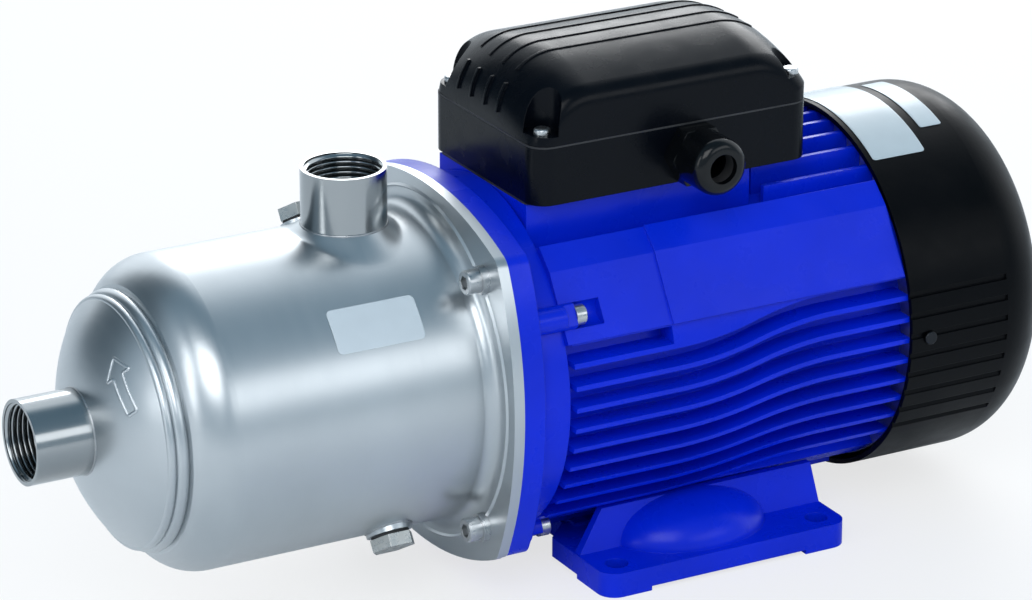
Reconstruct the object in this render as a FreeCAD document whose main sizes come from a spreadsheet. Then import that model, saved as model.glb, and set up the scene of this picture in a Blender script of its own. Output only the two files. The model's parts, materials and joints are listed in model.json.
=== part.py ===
import FreeCAD, Part
import math
import os
import Sketcher
from FreeCAD import Matrix, Placement, Rotation, Vector

# Horizontal multistage centrifugal pump with its finned motor.
#
# Millimetres. +X runs along the shaft from the suction port to the fan, +Z is up, and the
# origin is the middle of the four foot holes, on the face that the foot stands on.

os.makedirs("parts", exist_ok=True)
doc = FreeCAD.newDocument("multistage_pump")
sheet = doc.addObject("Spreadsheet::Sheet", "Sizes")

X_AXIS = Vector(1, 0, 0)
Y_AXIS = Vector(0, 1, 0)
Z_AXIS = Vector(0, 0, 1)
ORIGIN = Vector(0, 0, 0)

# Driving dimensions: name, value, what it measures
DRIVING = [
    ("axis_height", 90, "shaft height over the standing face"),
    ("fit", 0.05, "radial clearance of a running fit or a screw hole"),
    ("gap", 0.3, "free clearance beside a curved neighbour"),
    ("joint_x", -101, "plane between pump end and bracket"),
    # foot
    ("hole_pitch_x", 100, "foot holes along the shaft"),
    ("hole_pitch_y", 140, "foot holes across the shaft"),
    ("foot_hole", 5, "foot hole radius"),
    ("foot_length", 121, "foot along the shaft"),
    ("foot_width", 161, "foot across the shaft"),
    ("foot_pad", 11, "foot thickness at the holes"),
    ("foot_relief", 2, "foot underside between its corner pads"),
    ("foot_corner", 8, "foot corner round"),
    ("foot_plate", 7, "underside of the foot's middle"),
    ("foot_saddle", 12.3, "top of the foot's middle under the frame"),
    ("saddle_half", 28, "half width of the foot's middle"),
    ("waist_length", 98.8, "foot length at its waist"),
    ("waist_width", 43.8, "foot width at its waist"),
    ("web_wall", 4.5, "foot web thickness"),
    ("web_top", 27.9, "top edge of the foot webs"),
    ("web_base_y", 56, "foot web off the shaft at its base"),
    ("web_top_y", 50.2, "foot web off the shaft at its top"),
    ("web_top_length", 105, "foot web length at its top"),
    ("web_top_middle", 6.5, "middle of the webs' top edges"),
    ("bulge_long", 36, "half length of the foot's bulge"),
    ("bulge_wide", 26, "half width of the foot's bulge"),
    ("bulge_tall", 17.5, "height of the foot's bulge"),
    ("bulge_wall", 4, "wall of the foot's bulge"),
    ("foot_screw_x", 36, "foot screws off the middle"),
    ("foot_screw", 4, "foot screw shank radius"),
    ("foot_screw_head", 6.5, "foot screw head radius"),
    ("foot_screw_grip", 9, "foot screw in the frame"),
    # ports and plugs
    ("port_radius", 18.2, "outside of both ports"),
    ("port_bore", 16.62, "major radius of the 1 inch pipe thread"),
    ("suction_length", 27.5, "suction port, mouth to its end in the dome"),
    ("suction_seat", 4, "suction port past the tip of the dome"),
    ("discharge_back", 41, "discharge axis in front of the joint plane"),
    ("discharge_mouth", 94.3, "discharge mouth over the shaft"),
    ("discharge_seat", 67.8, "discharge port foot over the shaft"),
    ("collar_reach", 6.5, "pulled collar beyond the port"),
    ("plug_lean", 34, "fill and drain plugs off the vertical, degrees"),
    ("boss_radius", 10, "plug boss radius"),
    ("boss_top", 69.3, "plug boss face over the shaft"),
    ("plug_shank", 6.5, "plug thread radius"),
    ("plug_length", 8, "plug thread length"),
    ("plug_washer", 1.3, "plug sealing washer"),
    ("plug_flats", 17, "plug hexagon across flats"),
    ("plug_head", 5.4, "plug head height"),
    # pump body
    ("sleeve_radius", 67.25, "outside of the pressed sleeve"),
    ("sheet_wall", 2, "sheet of the pump body"),
    ("sleeve_length", 121, "joint plane to the shoulder"),
    ("dome_depth", 46, "shoulder to the tip of the dome"),
    ("shoulder_radius", 21, "shoulder bend"),
    ("cap_radius", 82.4, "spherical cap of the dome"),
    ("cap_edge", 52, "radius where the cap meets the first bead"),
    ("bead_short", 3.5, "first bead along the shaft"),
    ("bead_long", 5.2, "second bead along the shaft"),
    ("bead_rise", 1.1, "rise of each bead"),
    ("flange_half", 82, "half width of the flange"),
    ("flange_side", 150, "bow of the flange sides"),
    ("flange_corner", 8, "flange corner round"),
    ("flange_sheet", 2.8, "thickness of the body flange"),
    ("flare_radius", 6, "bend from sleeve to flange"),
    ("ring_radius", 76, "raised ring on the flange"),
    ("ring_height", 0.9, "height of the raised ring"),
    ("bolt_square", 55.6, "flange bolts off the shaft, both ways"),
    ("bolt_radius", 3, "flange bolt shank"),
    ("bolt_head", 5.2, "flange bolt head radius"),
    ("bolt_head_tall", 6, "flange bolt head height"),
    ("washer_thick", 3.2, "flange washers"),
    ("washer_radius", 6.1, "flange washer radius"),
    # shaft seal
    ("seal_plate", 2.2, "seal housing sheet"),
    ("dish_depth", 8.8, "seal housing dish in front of its rim"),
    ("dish_lip", 12, "bore of the seal housing"),
    ("seal_hub", 19, "seal housing hub radius"),
    ("seat_radius", 15.9, "seal seat radius"),
    ("seat_length", 6, "seal seat length"),
    ("seal_ring", 14, "rotating seal ring radius"),
    ("seal_ring_length", 5, "rotating seal ring length"),
    ("bellows_length", 17, "seal bellows length"),
    ("seal_collar", 4, "seal collar length"),
    ("o_ring_wire", 1.4, "body O-ring section radius"),
    ("slinger_length", 4, "slinger length"),
    # stages
    ("stage_front", 9.5, "stage stack in front of the shoulder"),
    ("stage_pitch", 18, "one stage"),
    ("stage_radius", 62, "outside of the stage casings"),
    ("stage_wall", 1.5, "stage casing sheet"),
    ("wear_width", 2.2, "wear ring, bore to outside"),
    ("impeller_radius", 46, "impeller"),
    ("impeller_sheet", 1, "impeller shroud sheet"),
    ("eye_radius", 18.5, "impeller eye"),
    ("passage", 5, "impeller passage between its shrouds"),
    ("shroud_front", 3, "front shroud behind the casing's face"),
    ("hub_radius", 12, "impeller hub"),
    ("guide_disc", 11.2, "diffuser disc behind the casing's face"),
    ("guide_sheet", 1.2, "diffuser disc thickness"),
    ("guide_radius", 56, "diffuser disc radius"),
    ("vane_thick", 1.7, "vane thickness"),
    ("spacer_radius", 11, "shaft spacer"),
    ("cage_wall", 3, "outlet cage wall"),
    ("window_width", 26, "outlet cage windows"),
    # shaft
    ("pump_shaft", 8, "shaft radius in the pump"),
    ("bearing_shaft", 8.5, "shaft radius in the front bearing"),
    ("rotor_shaft", 11, "shaft radius under the rotor"),
    ("rear_shaft", 7.5, "shaft radius in the rear bearing"),
    ("fan_shaft", 7, "shaft radius under the fan"),
    ("nut_length", 7, "impeller nut"),
    ("nut_flats", 22, "impeller nut across flats"),
    ("nut_flange", 1.5, "flange of the impeller nut"),
    # bracket
    ("bracket_flange", 10, "bracket flange thickness"),
    ("bracket_length", 24, "bracket, joint plane to motor frame"),
    ("bracket_neck", 77.5, "bracket neck radius"),
    ("bracket_chamber", 66, "bracket chamber behind the pump"),
    ("bracket_web", 4, "bracket web"),
    ("spigot_length", 5, "spigots in the frame's bore"),
    ("front_bearing", 20, "front bearing outer radius"),
    ("front_width", 12, "front bearing width"),
    ("rear_bearing", 17.5, "rear bearing outer radius"),
    ("rear_width", 11, "rear bearing width"),
    ("race_wall", 3, "bearing ring wall"),
    ("bearing_wall", 6, "wall around a bearing"),
    ("wave_spring", 1.2, "wave spring"),
    # motor frame
    ("frame_length", 169, "motor frame"),
    ("frame_bore", 64, "stator seat radius"),
    ("frame_wall", 4.5, "frame wall"),
    ("fin_radius", 79.5, "tips of the fins"),
    ("fin_thick", 2.2, "fin thickness"),
    ("fin_pitch", 9.5, "fin pitch"),
    ("fin_top", 27.6, "top fin over the shaft"),
    ("fin_inset", 2, "fins short of the frame's ends"),
    ("wave_start", 52, "start of the fin wave from the frame's front"),
    ("wave_length", 77, "length of the fin wave"),
    ("panel_rise", 1, "corner panels beyond the fin tips"),
    ("panel_step", 1.2, "step in the corner panels"),
    ("rib_pitch", 10.5, "top and bottom ribs"),
    ("rib_thick", 2.4, "top and bottom rib thickness"),
    ("pedestal_half", 38, "terminal box pedestal half width"),
    ("pedestal_top", 77, "pedestal over the shaft"),
    ("pedestal_length", 109, "pedestal along the shaft"),
    ("pedestal_gap", 4, "groove between pedestal and top ribs"),
    ("wire_hole", 9, "wire passage radius"),
    ("wire_hole_x", -20, "wire passage along the shaft"),
    ("motor_screw_circle", 79.65, "motor screws off the shaft"),
    ("screw_radius", 2.5, "motor and shield screws"),
    ("screw_head", 4.4, "motor and shield screw head radius"),
    ("screw_head_tall", 5, "motor and shield screw head"),
    ("screw_grip", 10, "motor screws in the bracket"),
    ("screw_pocket", 5.6, "screw pocket radius"),
    ("pocket_length", 14, "screw pocket length"),
    ("shield_screw_margin", 7.2, "shield screws inside the fan cover's bore"),
    # windings and rotor
    ("stator_bore", 36.3, "stator bore radius"),
    ("stator_length", 80, "stator core length"),
    ("stator_middle", 2, "middle of the stator core"),
    ("air_gap", 0.4, "rotor air gap"),
    ("winding_length", 20, "winding overhang"),
    ("winding_outer", 58, "winding outer radius"),
    ("winding_inner", 40, "winding inner radius"),
    ("end_ring", 7, "rotor end ring length"),
    # rear shield, fan and its cover
    ("shield_margin", 2.2, "rear shield inside the fan cover's bore"),
    ("shield_wall", 4, "rear shield wall"),
    ("lug_half", 5, "half width of the cover lugs"),
    ("lug_length", 12, "cover lugs along the shaft"),
    ("cover_screw_x", 6, "cover screws behind the frame"),
    ("cover_screw", 2, "cover screw shank radius"),
    ("cover_screw_head", 3, "cover screw head radius"),
    ("cover_screw_tall", 1.6, "cover screw head"),
    ("cover_screw_grip", 10, "cover screws in their lugs"),
    ("cover_radius", 82.4, "fan cover radius"),
    ("cover_wall", 2.2, "fan cover wall"),
    ("cover_overlap", 3, "fan cover over the frame"),
    ("cover_length", 76.4, "fan cover length"),
    ("cover_round", 20.4, "fan cover rear round, across"),
    ("cover_round_long", 27, "fan cover rear round, along"),
    ("groove_pitch", 9.1, "grooves on the fan cover"),
    ("groove_top", 19.8, "top groove over the shaft"),
    ("groove_depth", 0.9, "groove depth"),
    ("groove_width", 2.6, "groove width"),
    ("slot_width", 6, "fan cover slots"),
    ("slot_pitch", 10, "fan cover slot pitch"),
    ("slot_first", 14, "inner radius of the first slots"),
    ("slot_bar", 4.4, "bars across the slots"),
    ("fan_margin", 16.2, "fan inside the fan cover's bore"),
    ("fan_back", 20, "fan disc behind the frame"),
    ("fan_length", 24, "fan length"),
    ("fan_hub", 14, "fan hub radius"),
    ("fan_sheet", 2, "fan disc and blades"),
    ("clip_width", 1, "fan clip"),
    ("clip_depth", 0.8, "fan clip groove"),
    # terminal box and cable gland
    ("box_front", -76.3, "terminal box end at the pump"),
    ("box_length", 134.6, "terminal box length"),
    ("box_half", 46, "terminal box half width"),
    ("box_corner", 9, "terminal box corner round"),
    ("box_wall", 2.6, "terminal box wall"),
    ("box_gasket", 1, "gasket under the box"),
    ("box_height", 25, "terminal box base height"),
    ("box_screw_y", 24, "box screws off the middle"),
    ("box_screw_in", 12, "box screws in from the pedestal's ends"),
    ("box_screw", 2, "box screw shank radius"),
    ("seam", 0.8, "cover gasket"),
    ("lid_height", 31, "terminal box cover height"),
    ("lid_roll", 27, "round of the cover at the pump end"),
    ("lid_rear", 15, "cover edge at the fan end"),
    ("lid_slope", 29, "rounded fall of the cover at the fan end"),
    ("lid_crown", 110, "crown of the cover across the shaft"),
    ("lid_rib", 0.5, "height of the long ribs on the cover"),
    ("lid_rib_width", 1.4, "ribs on the cover"),
    ("lid_rib_end", 124, "long ribs, from the box end at the pump"),
    ("lid_rib_low", 24, "low end of the long ribs over the seam"),
    ("lid_short_rib", 1, "height of the short ribs on the roll"),
    ("lid_short_low", 7, "low end of the short ribs over the seam"),
    ("lid_short_high", 19, "high end of the short ribs over the seam"),
    ("lid_screw_in", 7, "cover screws in from the box sides"),
    ("lid_seat_front", 4, "front screw seats over the seam"),
    ("lid_seat_rear", 11, "rear screw seats over the seam"),
    ("lid_recess", 8, "screw recess radius"),
    ("lid_screw", 2, "box cover screw shank radius"),
    ("lid_screw_head", 3.6, "box cover screw head radius"),
    ("lid_screw_head_tall", 2.6, "box cover screw head"),
    ("lid_screw_grip", 12, "box cover screw in the base"),
    ("box_screw_head", 3.6, "box screw head radius"),
    ("box_screw_head_tall", 2.6, "box screw head"),
    ("box_screw_length", 10, "box screw under its head"),
    ("terminal_x", 18, "terminal block in from the box end at the pump"),
    ("terminal_y", 22, "near edge of the terminal block off the middle"),
    ("terminal_long", 40, "terminal block along the shaft"),
    ("terminal_wide", 18, "terminal block across the shaft"),
    ("terminal_tall", 11, "terminal block height"),
    ("terminal_pitch_x", 13, "terminals along the block"),
    ("terminal_pitch_y", 9, "terminals across the block"),
    ("terminal_stud", 2.5, "terminal stud radius"),
    ("terminal_stud_tall", 5, "terminal stud"),
    ("capacitor_radius", 17, "capacitor"),
    ("capacitor_length", 50, "capacitor"),
    ("capacitor_x", 64, "capacitor in from the box end at the pump"),
    ("capacitor_y", 11, "capacitor off the middle"),
    ("capacitor_tip", 4, "capacitor terminal end"),
    ("gland_x", -1, "cable gland along the shaft"),
    ("gland_z", 90.5, "cable gland over the shaft"),
    ("gland_thread", 8, "gland thread radius"),
    ("gland_neck", 9.5, "gland neck radius under its nut"),
    ("gland_lock_flats", 19.6, "gland lock nut across flats"),
    ("gland_flats", 24, "gland hexagon across flats"),
    ("gland_hexagon", 8, "gland hexagon length"),
    ("gland_bore", 6.5, "cable passage radius"),
    ("gland_nut", 18, "gland nut length"),
    ("gland_lock", 4.4, "gland lock nut"),
]

# Counts and angles, in degrees from +Y towards +Z
STAGES = 4
LONG_FINS = 9
COVER_GROOVES = 8
IMPELLER_VANES = 6
GUIDE_VANES = 8
RETURN_VANES = 7
CAGE_WINDOWS = 6
FAN_BLADES = 8
GRILLE_SECTORS = 6
GRILLE_RINGS = 4
BALLS = 8
MOTOR_SCREW_ANGLES = (28.5, 151.5, -60, -120)
SHIELD_SCREW_ANGLES = (45, 135, -57, -123)
UPPER_BLOCK_ANGLES = (20, 42.5, 51.4)
LOWER_BLOCK_ANGLES = (-50.8, -60.3, -69.1)
LID_RIBS_Y = (-13, -2, 10, 22)


class Size:
    """A length: its value in millimetres, and its formula in names of the sheet."""

    def __init__(self, value, text):
        self.value = float(value)
        self.text = text

    def __add__(self, other):
        other = size_of(other)
        return Size(self.value + other.value, "(%s + %s)" % (self.text, other.text))

    def __sub__(self, other):
        other = size_of(other)
        return Size(self.value - other.value, "(%s - %s)" % (self.text, other.text))

    def __mul__(self, other):
        other = size_of(other)
        return Size(self.value * other.value, "(%s * %s)" % (self.text, other.text))

    def __truediv__(self, other):
        other = size_of(other)
        return Size(self.value / other.value, "(%s / %s)" % (self.text, other.text))

    def __neg__(self):
        return Size(-self.value, "(0 - %s)" % self.text)

    def __float__(self):
        return self.value


def size_of(number):
    """A plain number as a Size."""
    if isinstance(number, Size):
        return number
    return Size(number, "(%.9f)" % number)


def root(length):
    """Square root of a Size."""
    return Size(math.sqrt(length.value), "sqrt(%s)" % length.text)


class Sizes:
    """The named sizes of the sheet, one attribute each."""


S = Sizes()
for row, (name, value, note) in enumerate(DRIVING, start=1):
    sheet.set("A%d" % row, name)
    sheet.set("B%d" % row, str(value))
    sheet.set("C%d" % row, note)
    sheet.setAlias("B%d" % row, name)
    setattr(S, name, Size(value, "Sizes." + name))
doc.recompute()

ZERO = size_of(0)
SIDES = (-1, 1)
CORNERS = ((-1, -1), (1, -1), (1, 1), (-1, 1))
SIN60 = math.sin(math.radians(60))


# Sub-parts and features bound to the sheet

def place(thing, x=ZERO, y=ZERO, z=ZERO, turn=None):
    """Put a sub-part at x, y, z, bound to the sheet, after an optional turn."""
    x, y, z = size_of(x), size_of(y), size_of(z)
    thing.Placement = Placement(Vector(x.value, y.value, z.value), turn or Rotation())
    for letter, length in (("x", x), ("y", y), ("z", z)):
        thing.setExpression("Placement.Base." + letter, length.text)


def new_body(label, x=ZERO, y=ZERO, z=S.axis_height, turn=None):
    body = doc.addObject("PartDesign::Body", label)
    body.Label = label
    place(body, x, y, z, turn)
    return body


def sketch_on(body, role, name, offset=None, slide=None):
    """New sketch on one of the body's own origin planes, moved along the plane's normal and,
    with slide, along the plane's own X."""
    sketch = body.newObject("Sketcher::SketchObject", name)
    plane = [p for p in body.Origin.OriginFeatures if p.Role == role][0]
    sketch.AttachmentSupport = [(plane, "")]
    sketch.MapMode = "FlatFace"
    for letter, length in (("z", offset), ("x", slide)):
        if length is not None:
            sketch.setExpression("AttachmentOffset.Base." + letter, size_of(length).text)
    return sketch


def bind(sketch, constraints):
    """Add constraints given as (constraint, formula or None) and bind those with a formula."""
    for constraint, text in constraints:
        index = sketch.addConstraint(constraint)
        if text is not None:
            sketch.setExpression("Constraints[%d]" % index, text)


def hold_point(geometry, point, x, y):
    """Constraints that hold a point at x, y from the sketch's origin."""
    held = []
    for kind, length, axis in (("DistanceX", x, -2), ("DistanceY", y, -1)):
        if abs(length.value) < 1e-9:
            held.append((Sketcher.Constraint("PointOnObject", geometry, point, axis), None))
        else:
            held.append((Sketcher.Constraint(kind, -1, 1, geometry, point, length.value), length.text))
    return held


def outline(sketch, corners):
    """Closed outline. A corner is (x, y), or (x, y, radius, side) where an arc arrives there:
    side 1 turns left on the way, side -1 turns right."""
    points = [(size_of(c[0]), size_of(c[1])) for c in corners]
    ends = []
    constraints = []
    for index in range(len(corners)):
        following = (index + 1) % len(corners)
        start = Vector(points[index][0].value, points[index][1].value, 0)
        end = Vector(points[following][0].value, points[following][1].value, 0)
        arrival = corners[following]
        if len(arrival) == 2:
            geometry = sketch.addGeometry(Part.LineSegment(start, end), False)
            ends.append((geometry, 1, 2))
            continue
        radius, side = size_of(arrival[2]), arrival[3]
        chord = end - start
        rise = math.sqrt(radius.value ** 2 - (chord.Length / 2) ** 2)
        left = Vector(-chord.y, chord.x, 0) / chord.Length
        centre = (start + end) / 2 + left * rise * side
        angles = [math.atan2(p.y - centre.y, p.x - centre.x) for p in (start, end)]
        if side < 0:
            angles.reverse()
        circle = Part.Circle(centre, Z_AXIS, radius.value)
        geometry = sketch.addGeometry(Part.ArcOfCircle(circle, angles[0], angles[1]), False)
        ends.append((geometry, 1, 2) if side > 0 else (geometry, 2, 1))
        constraints.append((Sketcher.Constraint("Radius", geometry, radius.value), radius.text))
    for index, (geometry, first, last) in enumerate(ends):
        other, other_first, _ = ends[(index + 1) % len(ends)]
        join = Sketcher.Constraint("Coincident", geometry, last, other, other_first)
        constraints.append((join, None))
        constraints += hold_point(geometry, first, *points[index])
    bind(sketch, constraints)


def circles(sketch, spots, radius):
    """Equal circles at the given spots."""
    for x, y in spots:
        x, y = size_of(x), size_of(y)
        edge = Part.Circle(Vector(x.value, y.value, 0), Z_AXIS, radius.value)
        geometry = sketch.addGeometry(edge, False)
        bind(sketch, hold_point(geometry, 3, x, y))
        bind(sketch, [(Sketcher.Constraint("Radius", geometry, radius.value), radius.text)])


def rectangle(sketch, x0, y0, x1, y1):
    outline(sketch, [(x0, y0), (x1, y0), (x1, y1), (x0, y1)])


def spin(body, sketch, kind="PartDesign::Revolution", axis="H_Axis"):
    """Full turn of a sketch about one of its own axes."""
    feature = body.newObject(kind, sketch.Name + "_turn")
    feature.Profile = sketch
    feature.ReferenceAxis = (sketch, [axis])
    feature.Angle = 360
    return feature


def extrude(body, sketch, length, kind="PartDesign::Pad", reverse=False):
    """Pad or pocket a sketch by a length."""
    feature = body.newObject(kind, sketch.Name + "_run")
    feature.Profile = sketch
    feature.Length = length.value
    feature.setExpression("Length", length.text)
    feature.Reversed = reverse
    return feature


def round_edges(body, base, edges, radius):
    """Fillet of named edges of the last feature."""
    feature = body.newObject("PartDesign::Fillet", base.Name + "_round")
    feature.Base = (base, edges)
    feature.Radius = radius.value
    feature.setExpression("Radius", radius.text)
    return feature


def turned(label, x, corners, z=S.axis_height):
    """Turned piece: a profile of length along the shaft and radius, spun about the shaft."""
    body = new_body(label, x, ZERO, z)
    sketch = sketch_on(body, "XY_Plane", label + "_profile")
    outline(sketch, corners)
    spin(body, sketch)
    return body


def ring(inner, outer, length):
    """Profile of a plain ring."""
    return [(ZERO, inner), (length, inner), (length, outer), (ZERO, outer)]


def edges_where(shape, test):
    """Names of the edges whose ends and middle all pass the test."""
    names = []
    for number, edge in enumerate(shape.Edges, start=1):
        first, last = edge.FirstParameter, edge.LastParameter
        probes = [edge.valueAt(first + part * (last - first)) for part in (0, 0.5, 1)]
        if all(test(p) for p in probes):
            names.append("Edge%d" % number)
    return names


def piece(label, shape, x=ZERO, y=ZERO, z=S.axis_height, turn=None):
    """Sub-part from a shape, or a group of shapes, made in its own frame and placed by the sheet."""
    thing = doc.addObject("Part::Feature", label)
    thing.Label = label
    thing.Shape = Part.makeCompound(shape) if isinstance(shape, list) else shape
    place(thing, x, y, z, turn)
    return thing


# Plain solids in a sub-part's own frame

def tube(inner, outer, start, length, axis=X_AXIS, centre=ORIGIN):
    """Ring or, with no inner radius, a round bar along an axis."""
    base = centre + axis * float(start)
    bar = Part.makeCylinder(float(outer), float(length), base, axis)
    if float(inner) > 0:
        bar = bar.cut(Part.makeCylinder(float(inner), float(length), base, axis))
    return bar


def block(low, high):
    low = Vector(*[float(c) for c in low])
    high = Vector(*[float(c) for c in high])
    return Part.makeBox(high.x - low.x, high.y - low.y, high.z - low.z, low)


def prism(points, direction):
    """Straight prism over a closed polygon."""
    corners = [Vector(*[float(c) for c in p]) for p in points]
    return Part.Face(Part.makePolygon(corners + corners[:1])).extrude(direction)


def hexagon(flats, start, length, axis=X_AXIS, centre=ORIGIN):
    """Six-sided bar along an axis."""
    corner = float(flats) / math.sqrt(3)
    across = Z_AXIS if abs(axis.z) < 0.5 else X_AXIS
    side = axis.cross(across)
    up = side.cross(axis)
    base = centre + axis * float(start)
    points = []
    for step in range(6):
        angle = math.radians(60 * step)
        points.append(base + side * corner * math.cos(angle) + up * corner * math.sin(angle))
    return Part.Face(Part.makePolygon(points + points[:1])).extrude(axis * float(length))


def rims_at(shape, x):
    """Round edges of a shape that lie in the plane at x."""
    return [e for e in shape.Edges if abs(e.BoundBox.XMin - x) < 1e-6 and abs(e.BoundBox.XMax - x) < 1e-6]


def cap_screw(head_radius, head_tall, shank_radius, shank_length):
    """Socket-head screw along +X: the head from -head_tall to 0, the shank from 0."""
    tall = float(head_tall)
    head = tube(0, head_radius, -tall, tall)
    head = head.makeChamfer(float(head_radius) * 0.1, rims_at(head, -tall))
    socket = hexagon(float(head_radius) * 1.05, -tall, tall * 0.5)
    return head.cut(socket).fuse(tube(0, shank_radius, 0, shank_length)).removeSplitter()


def about_x(shape, degrees):
    """Copy of a shape turned about the shaft."""
    copy = shape.copy()
    copy.rotate(ORIGIN, X_AXIS, degrees)
    return copy


def around(shape, count, start=0):
    """Copies of a shape, evenly spaced about the shaft."""
    return [about_x(shape, start + 360.0 * step / count) for step in range(count)]


def on_circle(radius, degrees):
    """Point beside the shaft, its angle counted from +Y towards +Z."""
    angle = math.radians(degrees)
    return Vector(0, float(radius) * math.cos(angle), float(radius) * math.sin(angle))


def spots_on(radius, angles):
    """Points beside the shaft in a YZ sketch."""
    return [(radius * math.cos(math.radians(a)), radius * math.sin(math.radians(a))) for a in angles]


def joined(shapes):
    return shapes[0].fuse(shapes[1:]).removeSplitter()


def rounded_box(low, high, radius):
    """Box with rounded upright edges."""
    solid = block(low, high)
    upright = [e for e in solid.Edges if e.BoundBox.XLength < 1e-6 and e.BoundBox.YLength < 1e-6]
    return solid.makeFillet(float(radius), upright)


# Stations along the shaft

body_length = S.dome_depth + S.sleeve_length
body_x = S.joint_x - body_length
rim_x = S.joint_x - S.seal_plate
flange_x = rim_x - S.flange_sheet
dish_x = rim_x - S.dish_depth
port_x = S.joint_x - S.discharge_back
port_at = port_x - body_x
stage_x = S.joint_x - S.sleeve_length - S.stage_front
cage_x = stage_x + S.stage_pitch * STAGES
frame_x = S.joint_x + S.bracket_length
frame_end = frame_x + S.frame_length
front_bearing_x = frame_x + 1 - S.front_width
spring_x = frame_end + S.rear_width
hub_front = S.shroud_front - 2
hub_end = S.shroud_front + S.impeller_sheet * 2 + S.passage
seal_face_x = dish_x - S.seat_length - S.fit
bellows_x = seal_face_x - S.seal_ring_length - S.bellows_length
collar_x = bellows_x - S.seal_collar
fan_x = frame_end + S.fan_back
cover_x = frame_end - S.cover_overlap
cover_bore = S.cover_radius - S.cover_wall
shield_radius = cover_bore - S.shield_margin
shield_screw_circle = cover_bore - S.shield_screw_margin
fan_radius = cover_bore - S.fan_margin
shaft_bore = S.pump_shaft + S.fit
sleeve_bore = S.sleeve_radius - S.sheet_wall
box_bottom = S.pedestal_top + S.box_gasket
flange_spots = [(S.bolt_square * a, S.bolt_square * b) for a, b in CORNERS]


# Pump body: sleeve, stepped dome, pulled collar and flange in one sheet

def bowed_square(body, name, start, length, half):
    """Square plate with bowed sides and rounded corners, along the shaft."""
    sketch = sketch_on(body, "YZ_Plane", name, start)
    side = S.flange_side
    bow = side - half
    corner = (root(side * side * 2 - bow * bow) - bow) / 2
    outline(sketch, [(-corner, -corner, side, 1), (corner, -corner, side, 1),
                     (corner, corner, side, 1), (-corner, corner, side, 1)])
    plate = extrude(body, sketch, length)
    doc.recompute()
    reach = corner.value - 1e-3
    edges = edges_where(plate.Shape, lambda p: min(abs(p.y), abs(p.z)) > reach)
    return round_edges(body, plate, edges, S.flange_corner)


def bead_arc(along, rise):
    """Radius of an almost half-round bead over its own chord."""
    return root(along * along + rise * rise) * 0.53


def lean_plane(body, name, lean, height):
    """Sketch square to a plug axis that leans off the vertical, at a height over the shaft."""
    sketch = sketch_on(body, "XY_Plane", name)
    swing = Rotation(X_AXIS, lean)
    offset = swing.multVec(Vector(0, 0, height.value))
    sketch.AttachmentOffset = Placement(offset, swing)
    sketch.setExpression("AttachmentOffset.Base.y", (height * -math.sin(math.radians(lean))).text)
    sketch.setExpression("AttachmentOffset.Base.z", (height * math.cos(math.radians(lean))).text)
    return sketch


PLUG_LEANS = (("fill", -S.plug_lean.value), ("drain", 180 - S.plug_lean.value))


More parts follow.
